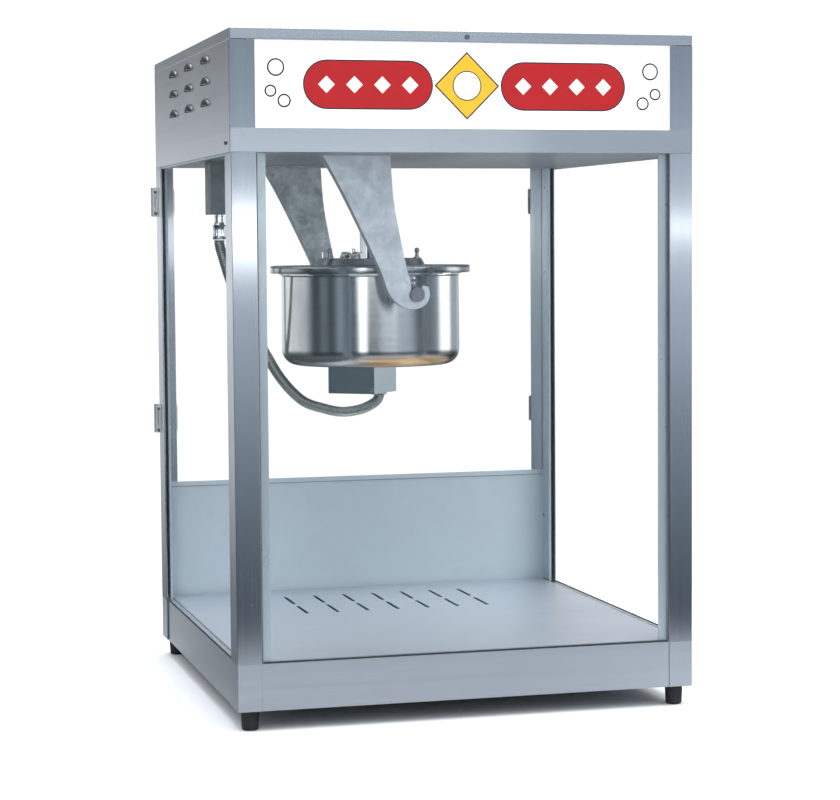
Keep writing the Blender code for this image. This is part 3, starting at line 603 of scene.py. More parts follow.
# ---- kettle lead
PLUG = Vector((-0.3015, MID + 0.045, 0))
CONDUIT_R, VALLEY_R, RIB_PITCH = 0.0085, 0.0077, 0.0036
CONDUIT_ROUTE = [
    (PLUG.x, PLUG.y, 0.7218),
    (PLUG.x, PLUG.y, 0.715),
    (PLUG.x + 0.004, PLUG.y, 0.699),
    (-0.283, MID + 0.042, 0.651),
    (-0.257, MID + 0.036, 0.59),
    (-0.231, MID + 0.03, 0.538),
    (-0.205, MID + 0.025, 0.494),
    (-0.173, MID + 0.018, 0.4605),
    (-0.14, MID + 0.011, 0.4475),
    (-0.11, MID + 0.007, 0.4415),
    (-0.08, MID + 0.003, 0.445),
    (-0.058, MID + 0.001, 0.455),
    (-0.05, MID, 0.464),
    (TILT_X, MID, 0.4727),
]


def kettle_lead():
    """A ribbed metal conduit from the plug to the terminal box, in one fixed shape; the real one
    bends as the kettle tips.
    """
    dense = smooth_through(CONDUIT_ROUTE, 24)
    lengths = [0]
    for a, b in zip(dense, dense[1:]):
        lengths.append(lengths[-1] + (b - a).length)
    total = lengths[-1]
    ribs = round(total / RIB_PITCH)
    rib = ((0, VALLEY_R), (0.22, CONDUIT_R), (0.62, CONDUIT_R), (0.84, VALLEY_R))
    stations = [((k + part) / ribs * total, r) for k in range(ribs) for part, r in rib]
    stations.append((total, VALLEY_R))
    bm, rings, side = bmesh.new(), [], Y.copy()
    for distance, radius in stations:
        distance = min(distance, total - 1e-6)
        i = max(1, next((k for k, s in enumerate(lengths) if s >= distance), len(lengths) - 1))
        share = (distance - lengths[i - 1]) / (lengths[i] - lengths[i - 1])
        centre = dense[i - 1].lerp(dense[i], share)
        forward = (dense[i] - dense[i - 1]).normalized()
        side = (side - forward * side.dot(forward)).normalized()
        other = forward.cross(side)
        spokes = [math.cos(a) * side + math.sin(a) * other for a in turned(18)]
        rings.append([bm.verts.new(centre + radius * spoke) for spoke in spokes])
    skin(bm, rings)
    bm.faces.new(rings[0])
    bm.faces.new(rings[-1])
    lead = add_object("conduit_ribbed", to_mesh("conduit_ribbed", bm, 50, "conduit"))
    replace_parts(lead, "kettle_conduit")
    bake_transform(lead)
    return lead, total


def plug():
    """The lead's plug: a bright ferrule up into the socket and a knurled nut below it."""

    def knurl(k, height):
        return 1 if not 0.7262 < height < 0.7442 or k % 2 else 0.955

    nut = [
        (0.0088, 0.7228), (0.01, 0.723), (0.011, 0.725), (0.011, 0.7265),
        (0.011, 0.729), (0.011, 0.7345), (0.0104, 0.735), (0.0104, 0.7362),
        (0.011, 0.7367), (0.011, 0.744), (0.011, 0.745), (0.0096, 0.7462),
        (0.0088, 0.7462),
    ]
    ferrule = [
        (0, 0.7235), (0.0084, 0.7235), (0.0084, 0.748), (0.008, 0.7486),
        (0.008, 0.75), (0.0085, 0.7506), (0.0085, 0.76), (0.0079, 0.7606),
        (0.0079, 0.7626), (0, 0.7626),
    ]
    bm = lathe(bmesh.new(), nut, Matrix.Translation(PLUG), 48, knurl)
    lathe(bm, ferrule, Matrix.Translation(PLUG), 32)
    made = piece("plug_body", bm, "chrome", smooth=35)
    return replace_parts(made, "conduit_plug")


# ---- hardware
def cross_head(profile, arm, width, depth):
    """A turned screw head with a cross recess."""
    head = add_object("head", to_mesh("head", lathe(bmesh.new(), profile, HERE, 32)))
    top = max(height for _, height in profile)
    cross = [
        (arm, -width), (arm, width), (width, width), (width, arm), (-width, arm),
        (-width, width), (-arm, width), (-arm, -width), (-width, -width),
        (-width, -arm), (width, -arm), (width, -width),
    ]
    bm = extrude(bmesh.new(), cross, HERE, top - depth, top + 0.001)
    cutter = add_object("cutter", to_mesh("cutter", bm))
    cut = head.modifiers.new("recess", "BOOLEAN")
    cut.operation = "DIFFERENCE"
    cut.solver = "EXACT"
    cut.object = cutter
    evaluated = head.evaluated_get(bpy.context.evaluated_depsgraph_get())
    result = bmesh.new()
    result.from_mesh(bpy.data.meshes.new_from_object(evaluated))
    bpy.data.objects.remove(head)
    bpy.data.objects.remove(cutter)
    return result


def hardware_meshes():
    """Screws and bolts that many pieces share: head up along +Z, seated on the XY plane."""
    pan = [
        (0, 0), (0.0036, 0), (0.0038, 0.0006), (0.0035, 0.0014), (0.0026, 0.0021),
        (0.0014, 0.0024), (0, 0.0025),
    ]
    small = [(r * 0.72, h * 0.8) for r, h in pan]
    tall = [
        (0, 0), (0.0034, 0), (0.0036, 0.0008), (0.0036, 0.0026), (0.003, 0.0036),
        (0.0015, 0.0041), (0, 0.0042),
    ]
    flush = [(0, -0.0009), (0.0022, -0.0009), (0.0039, -0.0002), (0.0039, 0), (0, 0)]
    heads = {
        "pan_screw": (pan, 0.0019, 0.00042, 0.0013),
        "small_screw": (small, 0.0014, 0.00032, 0.001),
        "hinge_screw": (tall, 0.0019, 0.00045, 0.0014),
        "flush_screw": (flush, 0.0021, 0.00048, 0.0007),
    }
    made = {}
    for name, sizes in heads.items():
        made[name] = to_mesh(name, cross_head(*sizes), 30, "screw")
    return made


HARDWARE = {}
counts = {}


def fasten(kind, origin, direction, body="cabinet", turn=0):
    """Puts a shared screw on a surface that faces along direction."""
    counts[kind] = counts.get(kind, 0) + 1
    place = frame_at(origin, direction) @ Matrix.Rotation(math.radians(turn), 4, "Z")
    return show(f"{kind}_{counts[kind]:02d}", HARDWARE[kind], "screw", body, place)


# ---- glazing
def channels():
    """Retaining strips with a rolled bead behind each upright edge of the fixed glass."""
    z = (BASE_TOP + 0.0012, HEADER_BOTTOM - 0.0012)
    back = FRONT + PANE_INSET + PANE + 0.0004
    inner = HALF - PANE_INSET - PANE - 0.0004
    thick, groove = 0.0013, (0.0422, 0.044)

    def strip(name, corner, along, into, width=0.052):
        """An upright strip: from the corner outwards along the glass, thickness into the room."""
        profile = [
            (0.0035, 0), (width, 0), (width, 0.0034), (width - 0.0016, 0.0044),
            (width - 0.0034, 0.0034), (width - 0.0034, thick), (groove[1], thick),
            (groove[1], 0.0021), (groove[0], 0.0021), (groove[0], thick), (0.0035, thick),
        ]
        outline = [(corner + along * a + into * b).xy for a, b in profile]
        return soften(prism(name, outline, HERE, *z, "channel"), 0.0003, 1)

    for side, sx in SIDES:
        strip(f"channel_front_{side}", Vector((sx * HALF, back, 0)), -sx * X, Y)
        strip(f"channel_{side}_front", Vector((sx * inner, FRONT, 0)), Y, -sx * X)
        strip(f"channel_{side}_rear", Vector((sx * inner, REAR, 0)), -Y, -sx * X, 0.048)


def gaskets():
    """Black edging at the foot of each fixed pane, and a pale bead over the side panes."""
    clear = POST_SIDE + 0.0005
    foot = [(0.001, 0.1005), (0.0022, 0.1003), (0.0022, 0.1038), (0.0012, 0.1034)]
    over = [(0.001, -0.0003), (0.0022, -0.0003), (0.0022, -0.004), (0.001, -0.0034)]
    over = [(a, HEADER_BOTTOM + b) for a, b in over]
    for side, sx in SIDES:
        for end, profile, look in (("", foot, "gasket"), ("_upper", over, "channel")):
            outline = [(sx * (HALF - a), b) for a, b in profile]
            spread = (FRONT + clear, REAR - clear)
            soften(prism(f"gasket_{side}{end}", outline, along_y(y=0), *spread, look), 0.0004)
    foot = [(0.0008, 0.1004), (0.0021, 0.1003), (0.0021, 0.1034), (0.0012, 0.103)]
    foot = [(FRONT + a, b) for a, b in foot]
    along_x = Matrix(((0, 0, 1, 0), (1, 0, 0, 0), (0, 1, 0, 0), (0, 0, 0, 1)))
    spread = (-HALF + POST + 0.0025, HALF - POST - 0.0025)
    soften(prism("gasket_front", foot, along_x, *spread, "gasket"), 0.0004)
    for side, sx in SIDES:  # and a line of sealant beside each front post
        x0, x1 = sx * (HALF - POST - 0.0003), sx * (HALF - POST - 0.0016)
        outline = [(x0, 0.0012), (x1, 0.0016), (x1, 0.0022), (x0, 0.0022)]
        outline = [(a, FRONT + b) for a, b in outline]
        z = (BASE_TOP + 0.0012, HEADER_BOTTOM - 0.0012)
        prism(f"sealant_{side}", outline, HERE, *z, "seam")


# ---- header detail
LOUVRE_COLUMNS = (-0.15, 0, 0.15)
LOUVRE_LIPS = (0.925, 0.9575, 0.99)
SWITCH_Z = 0.93
SEAM_Z = (0.8486, 1.0088)


def louvre_mesh():
    """A pressed hood: a quarter of an egg with an open lower edge. +X out, Y along, Z up."""
    half_l, height, reach, wall = 0.03, 0.012, 0.006, 0.0008
    across, up = 20, 8
    bm = bmesh.new()

    def shell(shrink):
        grid = []
        for j in range(up + 1):
            b = math.pi / 2 * j / up
            row = []
            for i in range(across + 1):
                a = math.pi * i / across
                y = -(half_l - shrink) * math.cos(a) * math.cos(b)
                x = (reach - shrink) * math.sin(a) * math.cos(b)
                z = (height - shrink) * math.sin(b)
                row.append(bm.verts.new((x + 0.0002, y, z)))
            grid.append(row)
        for lower, upper in zip(grid, grid[1:]):
            for i in range(across):
                bm.faces.new((lower[i], lower[i + 1], upper[i + 1], upper[i]))
        return grid[0] + [row[-1] for row in grid[1:]] + [row[0] for row in grid[-2:0:-1]]

    skin(bm, [shell(0), shell(wall)])
    bmesh.ops.remove_doubles(bm, verts=bm.verts, dist=1e-6)
    return to_mesh("louvre_hood", bm, 50, "louvre")


def louvres():
    mesh = louvre_mesh()
    for side, sx in SIDES:
        turn = Matrix.Rotation(math.pi if sx < 0 else 0, 4, "Z")
        for i, column in enumerate(LOUVRE_COLUMNS):
            for j, lip in enumerate(LOUVRE_LIPS):
                place = Matrix.Translation((sx * HALF, MID + column, lip)) @ turn
                show(f"louvre_{side}_{i}{j}", mesh, "louvre", "cabinet", place)


def sign_graphics():
    """A plain printed pattern: two red bars, a yellow diamond and small outlined discs."""
    face = low("sign_panel").y
    centre_z = (SIGN_LOW + high("sign_panel").z - 0.0105) / 2
    to_front = Matrix(((1, 0, 0, 0), (0, 0, -1, face), (0, 1, 0, centre_z), (0, 0, 0, 1)))
    coat = 0.00012  # each layer of ink

    def printed(name, outline, look, level, x=0, z=0):
        moved = [(a + x, b + z) for a, b in outline]
        prism(name, moved, to_front, 0.00002 + coat * level, coat * (level + 1), look)

    discs = ((0.288, 0.024, 0.013), (0.296, -0.01, 0.009), (0.276, -0.024, 0.01))
    for side, sx in SIDES:
        x = sx * 0.15
        printed(f"sign_bar_{side}_edge", rounded(0.196, 0.072, 0.036, 8), "ink_dark", 0, x)
        printed(f"sign_bar_{side}", rounded(0.192, 0.068, 0.034, 8), "ink_red", 1, x)
        for k in range(4):
            dot = x + (k - 1.5) * 0.042
            printed(f"sign_bar_{side}_gem_{k}", regular(4, 0.0125), "ink_cream", 2, dot)
        for k, (dx, dz, r) in enumerate(discs):
            printed(f"sign_disc_{side}_{k}_edge", regular(28, r), "ink_dark", 0, sx * dx, dz)
            printed(f"sign_disc_{side}_{k}", regular(28, r - 0.0024), "ink_cream", 1, sx * dx, dz)
    printed("sign_diamond_edge", regular(4, 0.05), "ink_dark", 0)
    printed("sign_diamond", regular(4, 0.047), "ink_yellow", 1)
    printed("sign_diamond_ring", regular(36, 0.022), "ink_dark", 2)
    printed("sign_diamond_disc", regular(36, 0.0205), "ink_cream", 3)


def joint_shade():
    """Dark strips of painted shade in the joints where the side panels meet the sign frame, and of
    painted shadow under the apron's hem.
    """
    for side, sx in SIDES:
        x0, x1 = sorted((sx * (HALF + 0.0001), sx * (HALF - 0.0003)))
        y = FRONT + 0.0085
        outline = [(x0, y), (x1, y), (x1, y + 0.001), (x0, y + 0.001)]
        prism(f"header_joint_shade_{side}", outline, HERE, *SEAM_Z, "seam")
    top, face = high("rear_apron"), low("rear_apron").y
    half, hem = top.x - 0.001, top.z - 0.008
    outline = [(-half, 0), (half, 0), (half, 0.0008), (-half, 0.0008)]
    outline = [(a, hem - 0.0009 + b) for a, b in outline]
    prism("apron_hem_shadow", outline, along_y(), face + 0.0012 - MID, face + 0.0018 - MID, "seam")


def header_screws():
    """One flush in the cover's front lip, the rest in the side and rear panels."""
    rear_low, rear_high, side_z, lip_z = 0.866, 0.99, 0.863, 1.0173
    fasten("flush_screw", (0, FRONT + 0.00005, lip_z), -Y, turn=20)
    for sx in (-1, 1):
        fasten("pan_screw", (sx * HALF, FRONT + 0.04, side_z), sx * X, turn=10)
        for k, z in enumerate((rear_low, rear_high)):
            fasten("pan_screw", (sx * (HALF - 0.018), REAR, z), Y, turn=35 * k + 5)
    for k, x in enumerate((-0.12, 0.06)):
        fasten("pan_screw", (x, REAR, rear_high), Y, turn=30 * k)


def switch_bezels():
    """A surround with a raised rim for each of the three rockers."""
    outer = rounded(0.02, 0.034, 0.0026, 4)
    inner = rounded(0.0128, 0.0248, 0.001, 4)
    for name in ("light_switch", "motor_switch", "heat_switch"):
        x = middle(name).x
        place = Matrix(((-1, 0, 0, x), (0, 0, 1, REAR), (0, 1, 0, SWITCH_Z), (0, 0, 0, 1)))
        bm, rings = bmesh.new(), []
        for outline, height in ((outer, 0), (outer, 0.0014), (inner, 0.0022), (inner, -0.001)):
            rings.append([bm.verts.new(place @ Vector((a, b, height))) for a, b in outline])
        skin(bm, rings, closed=True)
        piece(f"{name}_bezel", bm, "plastic", smooth=30)


# ---- doors
def door_detail():
    leaf = REAR + DOOR_GAP + PANE + 0.0003
    for side, sx in SIDES:
        body = f"{side}_door"
        for level in ("upper", "lower"):
            fixed = f"hinge_{level}_{side}_fixed"
            z0, z1 = low(fixed).z, high(fixed).z
            outer, inner = sx * (HALF + 0.0018), sx * (HALF - 0.016)
            for k, z in enumerate((z0 + 0.0065, z1 - 0.0065)):
                fasten("hinge_screw", (outer, REAR - 0.0115, z), sx * X, turn=20 + 50 * k)
                fasten("small_screw", (inner, leaf + 0.0015, z), Y, body, turn=15 + 45 * k)
            clamp_plate(f"hinge_{level}_{side}_pad", sx, (z0 + z1) / 2, body)
        pane_edge(side, body)
        pull = f"door_{side}_pull"
        x = middle(pull).x
        for k, z in enumerate((low(pull).z + 0.009, high(pull).z - 0.009)):
            fasten("small_screw", (x, leaf + 0.0025, z), Y, body, turn=10 + 60 * k)
            inside_cap(f"{pull}_cap_{k}", (x, REAR + 0.0004, z), body)


def pane_edge(side, body):
    """The pane's ground top and bottom edges, which are greener than its faces."""
    pane = f"door_{side}_pane"
    (x0, y0, z0), (x1, y1, z1) = low(pane), high(pane)
    bm = bmesh.new()
    for b0, b1 in ((z1 + 0.00005, z1 + 0.0004), (z0 - 0.0004, z0 - 0.00005)):
        outline = [(x0, b0), (x1, b0), (x1, b1), (x0, b1)]
        extrude(bm, outline, along_y(), y0 + 0.0002 - MID, y1 - 0.0002 - MID)
    piece(f"{pane}_edge", bm, "glass_edge", body)


def clamp_plate(name, sx, z, body):
    """The thin plate that spreads a hinge leaf's grip on the glass."""
    x0, x1 = sx * (HALF - 0.0325), sx * (HALF - 0.006)
    outline = rounded(abs(x1 - x0), 0.046, 0.003)
    face = REAR + 0.0058
    prism(name, outline, along_y((x0 + x1) / 2, z, 0), face, face + 0.00005, "hinge_plate", body)


def inside_cap(name, where, body):
    """A low domed cap on the inner face of a door, over a pull's screw."""
    profile = [(0, 0), (0.0058, 0), (0.0058, 0.0002), (0.0048, 0.0003), (0, 0.00035)]
    piece(name, lathe(bmesh.new(), profile, frame_at(where, -Y)), "plastic", body, smooth=40)


# ---- kettle
SHELL_BOTTOM, SHELL_TOP = low("kettle_shell").z, high("kettle_shell").z
SHELL_CORNER = 0.026
DOME_Z, LID_Z, RIM_LOW = 0.691, 0.6795, low("lid_left").z
DOME_R, LID_R = 0.084, 0.1625
LID = 0.0025  # thickness of the cover
STRIP_HALF = 0.0308  # half the width of the fixed strip between the lids
LID_HINGE_X, LID_HINGE_Z = 0.031, 0.6965
LEFT_KNOB_X, RIGHT_KNOB_X = KETTLE.x - 0.067, KETTLE.x + 0.079
OVER_KETTLE = Matrix.Translation((KETTLE.x, KETTLE.y, 0))


def kettle_shell():
    """The spun shell, with a fine rolled edge at the top."""
    corner = (SHELL_R - SHELL_CORNER, SHELL_BOTTOM + SHELL_CORNER)
    profile = [(0.01, SHELL_BOTTOM), (0.05, SHELL_BOTTOM)]
    profile += arc(corner, SHELL_CORNER, -90, 0, 14)
    profile += [(SHELL_R, SHELL_BOTTOM + SHELL_CORNER + 0.002), (SHELL_R, SHELL_TOP - 0.0025)]
    profile += arc((SHELL_R - SHEET / 2, SHELL_TOP - SHEET / 2), SHEET / 2, 0, 180, 4)
    profile += arc(corner, SHELL_CORNER - SHEET, 0, -90, 10)
    profile += [(0.05, SHELL_BOTTOM + SHEET), (0.01, SHELL_BOTTOM + SHEET)]
    bm = lathe(bmesh.new(), profile, OVER_KETTLE, 160)
    made = piece("shell_spun", bm, "kettle_steel", "kettle", smooth=35)
    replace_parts(made, "kettle_shell")


def cover(from_x, to_x):
    """The stretch of the domed cover between two distances from the kettle's axis."""
    profile = [(0, DOME_Z), (DOME_R - 0.006, DOME_Z), (DOME_R - 0.003, DOME_Z)]
    profile += [(DOME_R, DOME_Z - 0.0008), (DOME_R + 0.005, LID_Z + 0.001)]
    profile += [(DOME_R + 0.0075, LID_Z), (DOME_R + 0.0095, LID_Z), (LID_R - 0.006, LID_Z)]
    profile += arc((LID_R - 0.004, LID_Z - 0.004), 0.004, 90, 0, 6)
    profile += arc((LID_R - 0.001, RIM_LOW + 0.001), 0.001, 0, -180, 4)
    profile += arc((LID_R - 0.0055, LID_Z - 0.006), 0.0035, 0, 90, 4)
    profile += [(DOME_R + 0.006, LID_Z - LID), (DOME_R - 0.0015, DOME_Z - LID), (0, DOME_Z - LID)]
    bm = lathe(bmesh.new(), profile, OVER_KETTLE, 180)
    for x, sign in ((from_x, -1), (to_x, 1)):
        if x is None:
            continue
        geom, plane = bm.verts[:] + bm.edges[:] + bm.faces[:], (KETTLE.x + x, 0, 0)
        cut = bmesh.ops.bisect_plane(
            bm, geom=geom, plane_co=plane, plane_no=(sign, 0, 0), clear_outer=True
        )
        edges = [e for e in cut["geom_cut"] if isinstance(e, bmesh.types.BMEdge)]
        bmesh.ops.edgeloop_fill(bm, edges=edges)
    return bm


def lid(side, sx):
    """Half of the cover, its hinge barrels and its knob, which is a slim turned post."""
    edge, seat, web_top = sx * (STRIP_HALF + 0.0005), DOME_Z - 0.0005, LID_HINGE_Z - 0.001
    bm = cover(edge, None) if sx > 0 else cover(None, edge)
    hinge_x = KETTLE.x + sx * LID_HINGE_X
    for y in (-0.0375, 0.0375):
        barrel = [(0.0026, y - 0.017), (0.0044, y - 0.017), (0.005, y - 0.0163)]
        barrel += [(0.005, y + 0.0163), (0.0044, y + 0.017), (0.0026, y + 0.017)]
        lathe(bm, barrel, along_y(hinge_x, LID_HINGE_Z))
        x0, x1 = sorted((hinge_x + sx * 0.002, hinge_x + sx * 0.0072))
        web = [(x0, seat), (x1, seat), (x1, DOME_Z + 0.0012)]
        web += [(x0 if sx < 0 else x1 - 0.002, web_top), (x0 + 0.002 if sx < 0 else x0, web_top)]
        extrude(bm, web, along_y(), y - 0.0165, y + 0.0165)
    post = [(0, DOME_Z - 0.001), (0.0062, DOME_Z - 0.001), (0.0062, DOME_Z + 0.0012)]
    post += [(0.0034, DOME_Z + 0.0018), (0.0028, DOME_Z + 0.0085), (0.004, DOME_Z + 0.0105)]
    post += arc((0, DOME_Z + 0.0122), 0.0043, 0, 80, 4) + [(0, DOME_Z + 0.0165)]
    lathe(bm, post, Matrix.Translation((LEFT_KNOB_X if sx < 0 else RIGHT_KNOB_X, MID, 0)))
    made = piece(f"lid_{side}_spun", bm, "lid_steel", f"{side}_lid", smooth=32)
    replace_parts(made, f"lid_{side}")


def crossbar():
    """The fixed strip between the lids: hinge lugs and pins, and the tower round the shaft."""
    bm = cover(-STRIP_HALF, STRIP_HALF)
    seat = DOME_Z - 0.0005
    for sx in (-1, 1):
        x = KETTLE.x + sx * LID_HINGE_X
        pin = [(0, -0.063), (0.0016, -0.063), (0.002, -0.0624), (0.002, 0.0624)]
        pin += [(0.0016, 0.063), (0, 0.063)]
        lathe(bm, pin, along_y(x, LID_HINGE_Z), 16)
        for y in (-0.059, 0, 0.059):
            lug = [(0.009, seat), (0.0003, seat), (0.0003, LID_HINGE_Z + 0.002)]
            lug += [(0.0018, LID_HINGE_Z + 0.003), (0.006, LID_HINGE_Z + 0.003)]
            lug += [(0.009, LID_HINGE_Z - 0.001)]
            lug = [(x - sx * a, b) for a, b in lug]
            extrude(bm, lug, along_y(), y - 0.0035, y + 0.0035)
    inner, outer, top = 0.0083, 0.0149, high("kettle_crossbar").z
    tower = [(-outer, seat), (-inner, seat), (-inner, top - 0.008), (inner, top - 0.008)]
    tower += [(inner, seat), (outer, seat), (outer, top - 0.002), (outer - 0.002, top)]
    tower += [(-outer + 0.002, top), (-outer, top - 0.002)]
    extrude(bm, [(KETTLE.x + a, b) for a, b in tower], along_y(), -0.008, 0.008)
    for sx in (-1, 1):  # the foot of each leg, bent out flat onto the cover
        x0, x1 = sorted((KETTLE.x + sx * 0.0135, KETTLE.x + sx * 0.0275))
        z0, z1 = DOME_Z + 0.0001, DOME_Z + 0.0018
        extrude(bm, [(x0, z0), (x1, z0), (x1, z1), (x0, z1)], along_y(), -0.0085, 0.0085)
    made = piece("cover_strip", bm, "lid_steel", "kettle", smooth=32)
    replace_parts(made, "kettle_crossbar")


def keepers():
    """A threaded stud with two nuts above each stub shaft, inside the hook."""
    start, end = 0.6445, 0.6635
    for side, sy in (("front", -1), ("rear", 1)):
        base = Matrix.Translation((TILT_X, MID + sy * 0.2265, 0))
        thread, z = [(0, start)], start
        while z < end:
            thread += [(0.0019, z), (0.0024, z + 0.0005)]
            z += 0.001
        thread += [(0.0018, z), (0, z)]
        bm = lathe(bmesh.new(), thread, base, 16)
        for z0, z1 in ((0.647, 0.651), (0.656, 0.6596)):
            extrude(bm, regular(6, 0.0052, 0.3), base, z0, z1)
        piece(f"trunnion_keeper_{side}", bm, "chrome", "kettle", smooth=35)
        for k, x in enumerate((-0.0115, 0.0115)):
            spot = (TILT_X + x, MID + sy * 0.153, TILT_Z)
            fasten("small_screw", spot, sy * Y, "kettle", turn=40 * k)


def terminal_box():
    """The box's four screws, and the conduit's lock nut under it."""
    bottom = low("terminal_box").z
    centre = middle("terminal_box")
    turn = Matrix.Translation((centre.x, centre.y, 0))
    turn = turn @ Matrix.Rotation(math.radians(-38), 4, "Z")
    for k, a in enumerate((-0.034, 0.034)):
        for sy in (-1, 1):
            spot = turn @ Vector((a, sy * 0.0443, bottom + 0.006))
            fasten("small_screw", spot, turn.to_3x3() @ (sy * Y), "kettle", turn=30 * k)
    nut, place = regular(8, 0.0128, 0.2), Matrix.Translation((TILT_X, MID, 0))
    span = (bottom - 0.004, bottom - 0.0003)
    prism("conduit_lock_nut", nut, place, *span, "chrome", "kettle", 30)


def cover_hardware():
    """The catch beside the left lid's knob, screws in the tower's feet, and a stud with a nut."""
    catch = [
        (-0.0035, 0), (0.0035, 0), (0.0035, 0.0012), (-0.0023, 0.0012), (-0.0023, 0.01),
        (0.0022, 0.0118), (0.0016, 0.013), (-0.0035, 0.0109),
    ]
    place = along_y(LEFT_KNOB_X - 0.0085, DOME_Z + 0.0001)
    made = prism("lid_left_catch", catch, place, -0.0045, 0.0045, "chrome", "left_lid")
    soften(made, 0.0004)
    for k, dx in enumerate((-0.0225, 0.0225)):
        foot_top = (KETTLE.x + dx, MID, DOME_Z + 0.0018)
        fasten("small_screw", foot_top, Z, "kettle", turn=25 * k)
    stud = Matrix.Translation((KETTLE.x - 0.0235, MID + 0.0145, 0))
    bm = extrude(bmesh.new(), regular(6, 0.0046, 0.5), stud, DOME_Z + 0.0002, DOME_Z + 0.0036)
    thread = [(0, DOME_Z - 0.0005)]
    for k in range(15):
        z = DOME_Z + 0.0005 + 0.001 * k
        thread += [(0.0024, z), (0.0029, z + 0.0005)]
    thread += [(0.002, DOME_Z + 0.0158), (0, DOME_Z + 0.0158)]
    lathe(bm, thread, stud, 16)
    piece("crossbar_stud_nut", bm, "chrome", "kettle", smooth=35)


# ---- studio
WALLS = (  # compass angle from -Y towards +X, in degrees, and how light the room is there
    (-179, 0.7), (-145, 0.8), (-106, 0.7), (-99, 0.34), (-93, 0.06), (-84, 0.05),
    (-79, 0.17), (-73, 0.17), (-67, 0.04), (-61, 0.08), (-55, 0.34), (-49, 0.3),
    (-40, 0.12), (-30, 0.1), (-27, 2.1), (-20, 2.1), (-17, 0.14), (-7, 0.12),
    (3, 0.54), (14, 0.62), (32, 0.52), (42, 0.36), (49, 0.07), (58, 0.08),
    (70, 0.2), (82, 0.34), (89, 1.6), (106, 1.6), (114, 0.42), (132, 0.36),
    (150, 0.95), (177, 0.9),
)
FRONT_GLOW = (  # sine of the elevation, and how far it lifts or lowers the room, at half scale
    (-0.24, 0.04), (-0.16, 0.055), (-0.12, 0.17), (-0.08, 0.3), (-0.05, 0.43),
    (-0.034, 0.6), (-0.018, 0.76), (0.035, 0.76), (0.055, 0.36), (0.09, 0.28),
    (0.16, 0.36), (0.32, 0.66),
)
BACK_GLOW = (
    (-0.24, 0.05), (-0.16, 0.1), (-0.1, 0.4), (-0.04, 0.54), (-0.016, 0.74),
    (0.02, 0.74), (0.04, 0.29), (0.07, 0.13), (0.14, 0.08), (0.32, 0.16),
)
BLUE = 0.17  # how much bluer the dark panels are


def surroundings():
    """A room of grey panels for the reflections, and plain white for the camera."""
    world = bpy.data.worlds.new("studio")
    bpy.context.scene.world = world
    world.use_nodes = True
    tree = world.node_tree
    tree.nodes.clear()
    room = Nodes(tree)
    direction = room.node("ShaderNodeTexCoord").outputs["Generated"]
    parts = room.node("ShaderNodeSeparateXYZ", {"Vector": direction}).outputs

    def panels(fac, stops, blue):
        """A ramp of grey panels, each (place, level); the darker they are, the bluer."""
        made = room.node("ShaderNodeValToRGB", {"Fac": fac})
        ramp = made.color_ramp
        while len(ramp.elements) < len(stops):
            ramp.elements.new(0.5)
        for element, (place, level) in zip(ramp.elements, sorted(stops)):
            tint = blue * max(0, 1 - level)
            element.position = place
            element.color = (level * (1 - tint), level, level * (1 + tint), 1)
        return made.outputs["Color"]

    # The radial gradient starts at -X and runs through -Y, +X and +Y; degrees here are from -Y.
    around = room.node("ShaderNodeTexGradient", {"Vector": direction}, gradient_type="RADIAL")
    turns = [((a + 90) % 360 / 360, v) for a, v in WALLS]
    walls = panels(around.outputs["Fac"], turns, BLUE)
    rise = room.span(parts["Z"], -0.25, 0.35)
    front = panels(rise, [(z / 0.6 + 0.4167, v) for z, v in FRONT_GLOW], BLUE)
    back = panels(rise, [(z / 0.6 + 0.4167, v) for z, v in BACK_GLOW], 0)
    glow = room.mix(room.span(parts["Y"], -0.5, 0.3), front, back)
    lit_walls = room.mix(1, walls, glow, "MULTIPLY")
    ceiling = room.span(parts["Z"], 0.32, 0.75)
    colour = room.mix(ceiling, lit_walls, rgba(0.8, 0.84, 0.9))

    plain = room.node("ShaderNodeBackground", {"Color": rgba(1, 1, 1), "Strength": 1.12})
    panelled = room.node("ShaderNodeBackground", {"Color": colour, "Strength": 2})
    seen = room.node("ShaderNodeLightPath").outputs["Is Camera Ray"]
    inputs = {"Fac": seen, 1: panelled.outputs[0], 2: plain.outputs[0]}
    both = room.node("ShaderNodeMixShader", inputs)
    room.node("ShaderNodeOutputWorld", {"Surface": both.outputs[0]})


def softbox(name, location, target, size, energy, colour=(1, 1, 1)):
    data = bpy.data.lights.new(name, "AREA")
    data.shape = "RECTANGLE"
    data.size, data.size_y = size
    data.energy = energy
    data.color = colour
    light = add_object(name, data)
    light.matrix_world = frame_at(location, Vector(location) - Vector(target), Z)
    light.visible_camera = False


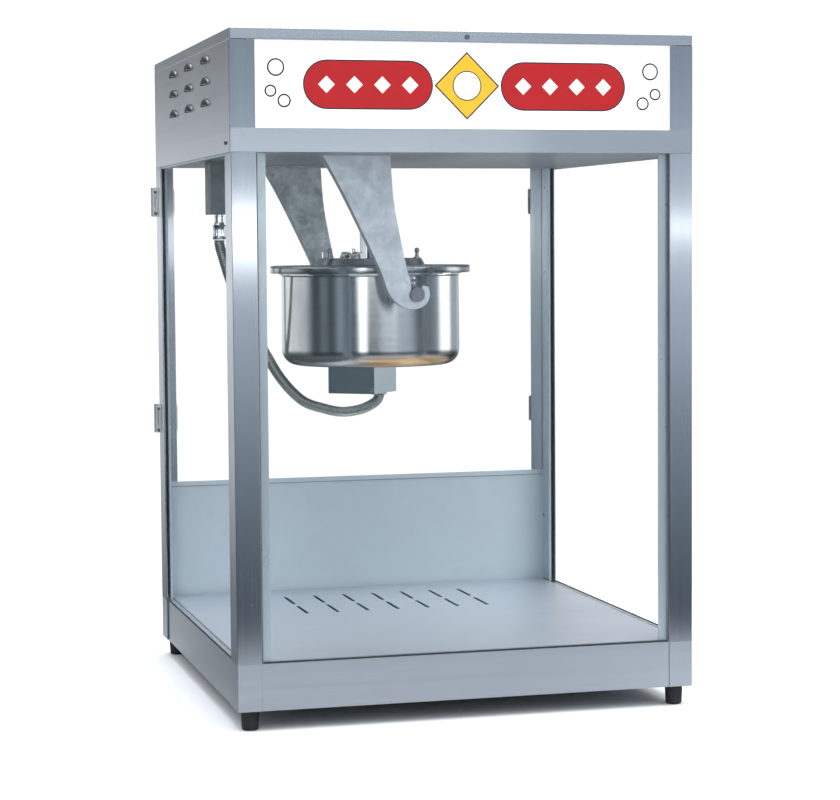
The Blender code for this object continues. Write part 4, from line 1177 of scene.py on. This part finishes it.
def lights():
    softbox("overhead", (0.1, 0, 3), (0, 0, 0.3), (2.8, 2.8), 75)
    softbox("key", (2.4, -1.6, 2.4), (0, 0, 0.4), (1.4, 1.2), 30, (1, 0.99, 0.97))
    # Two strips close in front, which the upright brushed faces show as a bright band.
    near = FRONT - 1
    softbox("strip_wide", (-0.24, near, 0.734), (-0.24, 0, 0.734), (1.32, 0.108), 0.98)
    softbox("strip_thin", (0.76, near, 0.742), (0.76, 0, 0.742), (0.68, 0.035), 0.14)


def pale_floor():
    """A pale floor that fades to nothing at its rim, so that no edge shows against the room."""
    bm = bmesh.new()
    rings = [[bm.verts.new((0, 0, 0))] * 96]
    for r in (0.5, 1, 1.5):
        rings.append([bm.verts.new((*point, 0)) for point in regular(96, r)])
    skin(bm, rings)
    mesh = bpy.data.meshes.new("floor")
    bm.to_mesh(mesh)
    bm.free()
    look = Look("floor", Roughness=0.85)
    white = look.mix(look.noise(3), rgba(0.9, 0.9, 0.9), rgba(0.93, 0.93, 0.92))
    # Seen in reflections the floor is darker: painted shade for the skirts and posts that reflect
    # it, darkest on the left as a painted shadow and a little lighter on the right.
    polished = look.node("ShaderNodeLightPath").outputs["Is Glossy Ray"]
    painted_shadow_left = look.span(look.across("X"), -0.46, -0.37, 1, 0)
    right = look.span(look.across("X"), 0.2, 0.4)
    dark = look.mix(right, rgba(0.32, 0.33, 0.34), rgba(0.38, 0.39, 0.41))
    dark = look.mix(painted_shadow_left, dark, rgba(0.09, 0.1, 0.11))
    look.set(Base_Color=look.mix(polished, white, dark))
    reach = look.node("ShaderNodeVectorMath", {0: look.place}, operation="LENGTH")
    look.set(Alpha=look.span(reach.outputs["Value"], 0.8, 1.3, 1, 0, True))
    mesh.materials.append(look.material)
    floor = add_object("floor", mesh)


# ---- build
def main():
    look_through_camera()
    lead, length = kettle_lead()
    fitting = plug()
    HARDWARE.update(hardware_meshes())
    channels()
    gaskets()
    louvres()
    joint_shade()
    sign_graphics()
    header_screws()
    switch_bezels()
    door_detail()
    kettle_shell()
    for side, sx in SIDES:
        lid(side, sx)
    crossbar()
    keepers()
    terminal_box()
    cover_hardware()
    bpy.context.scene.view_settings.view_transform = "Standard"
    surroundings()
    lights()
    pale_floor()


main()
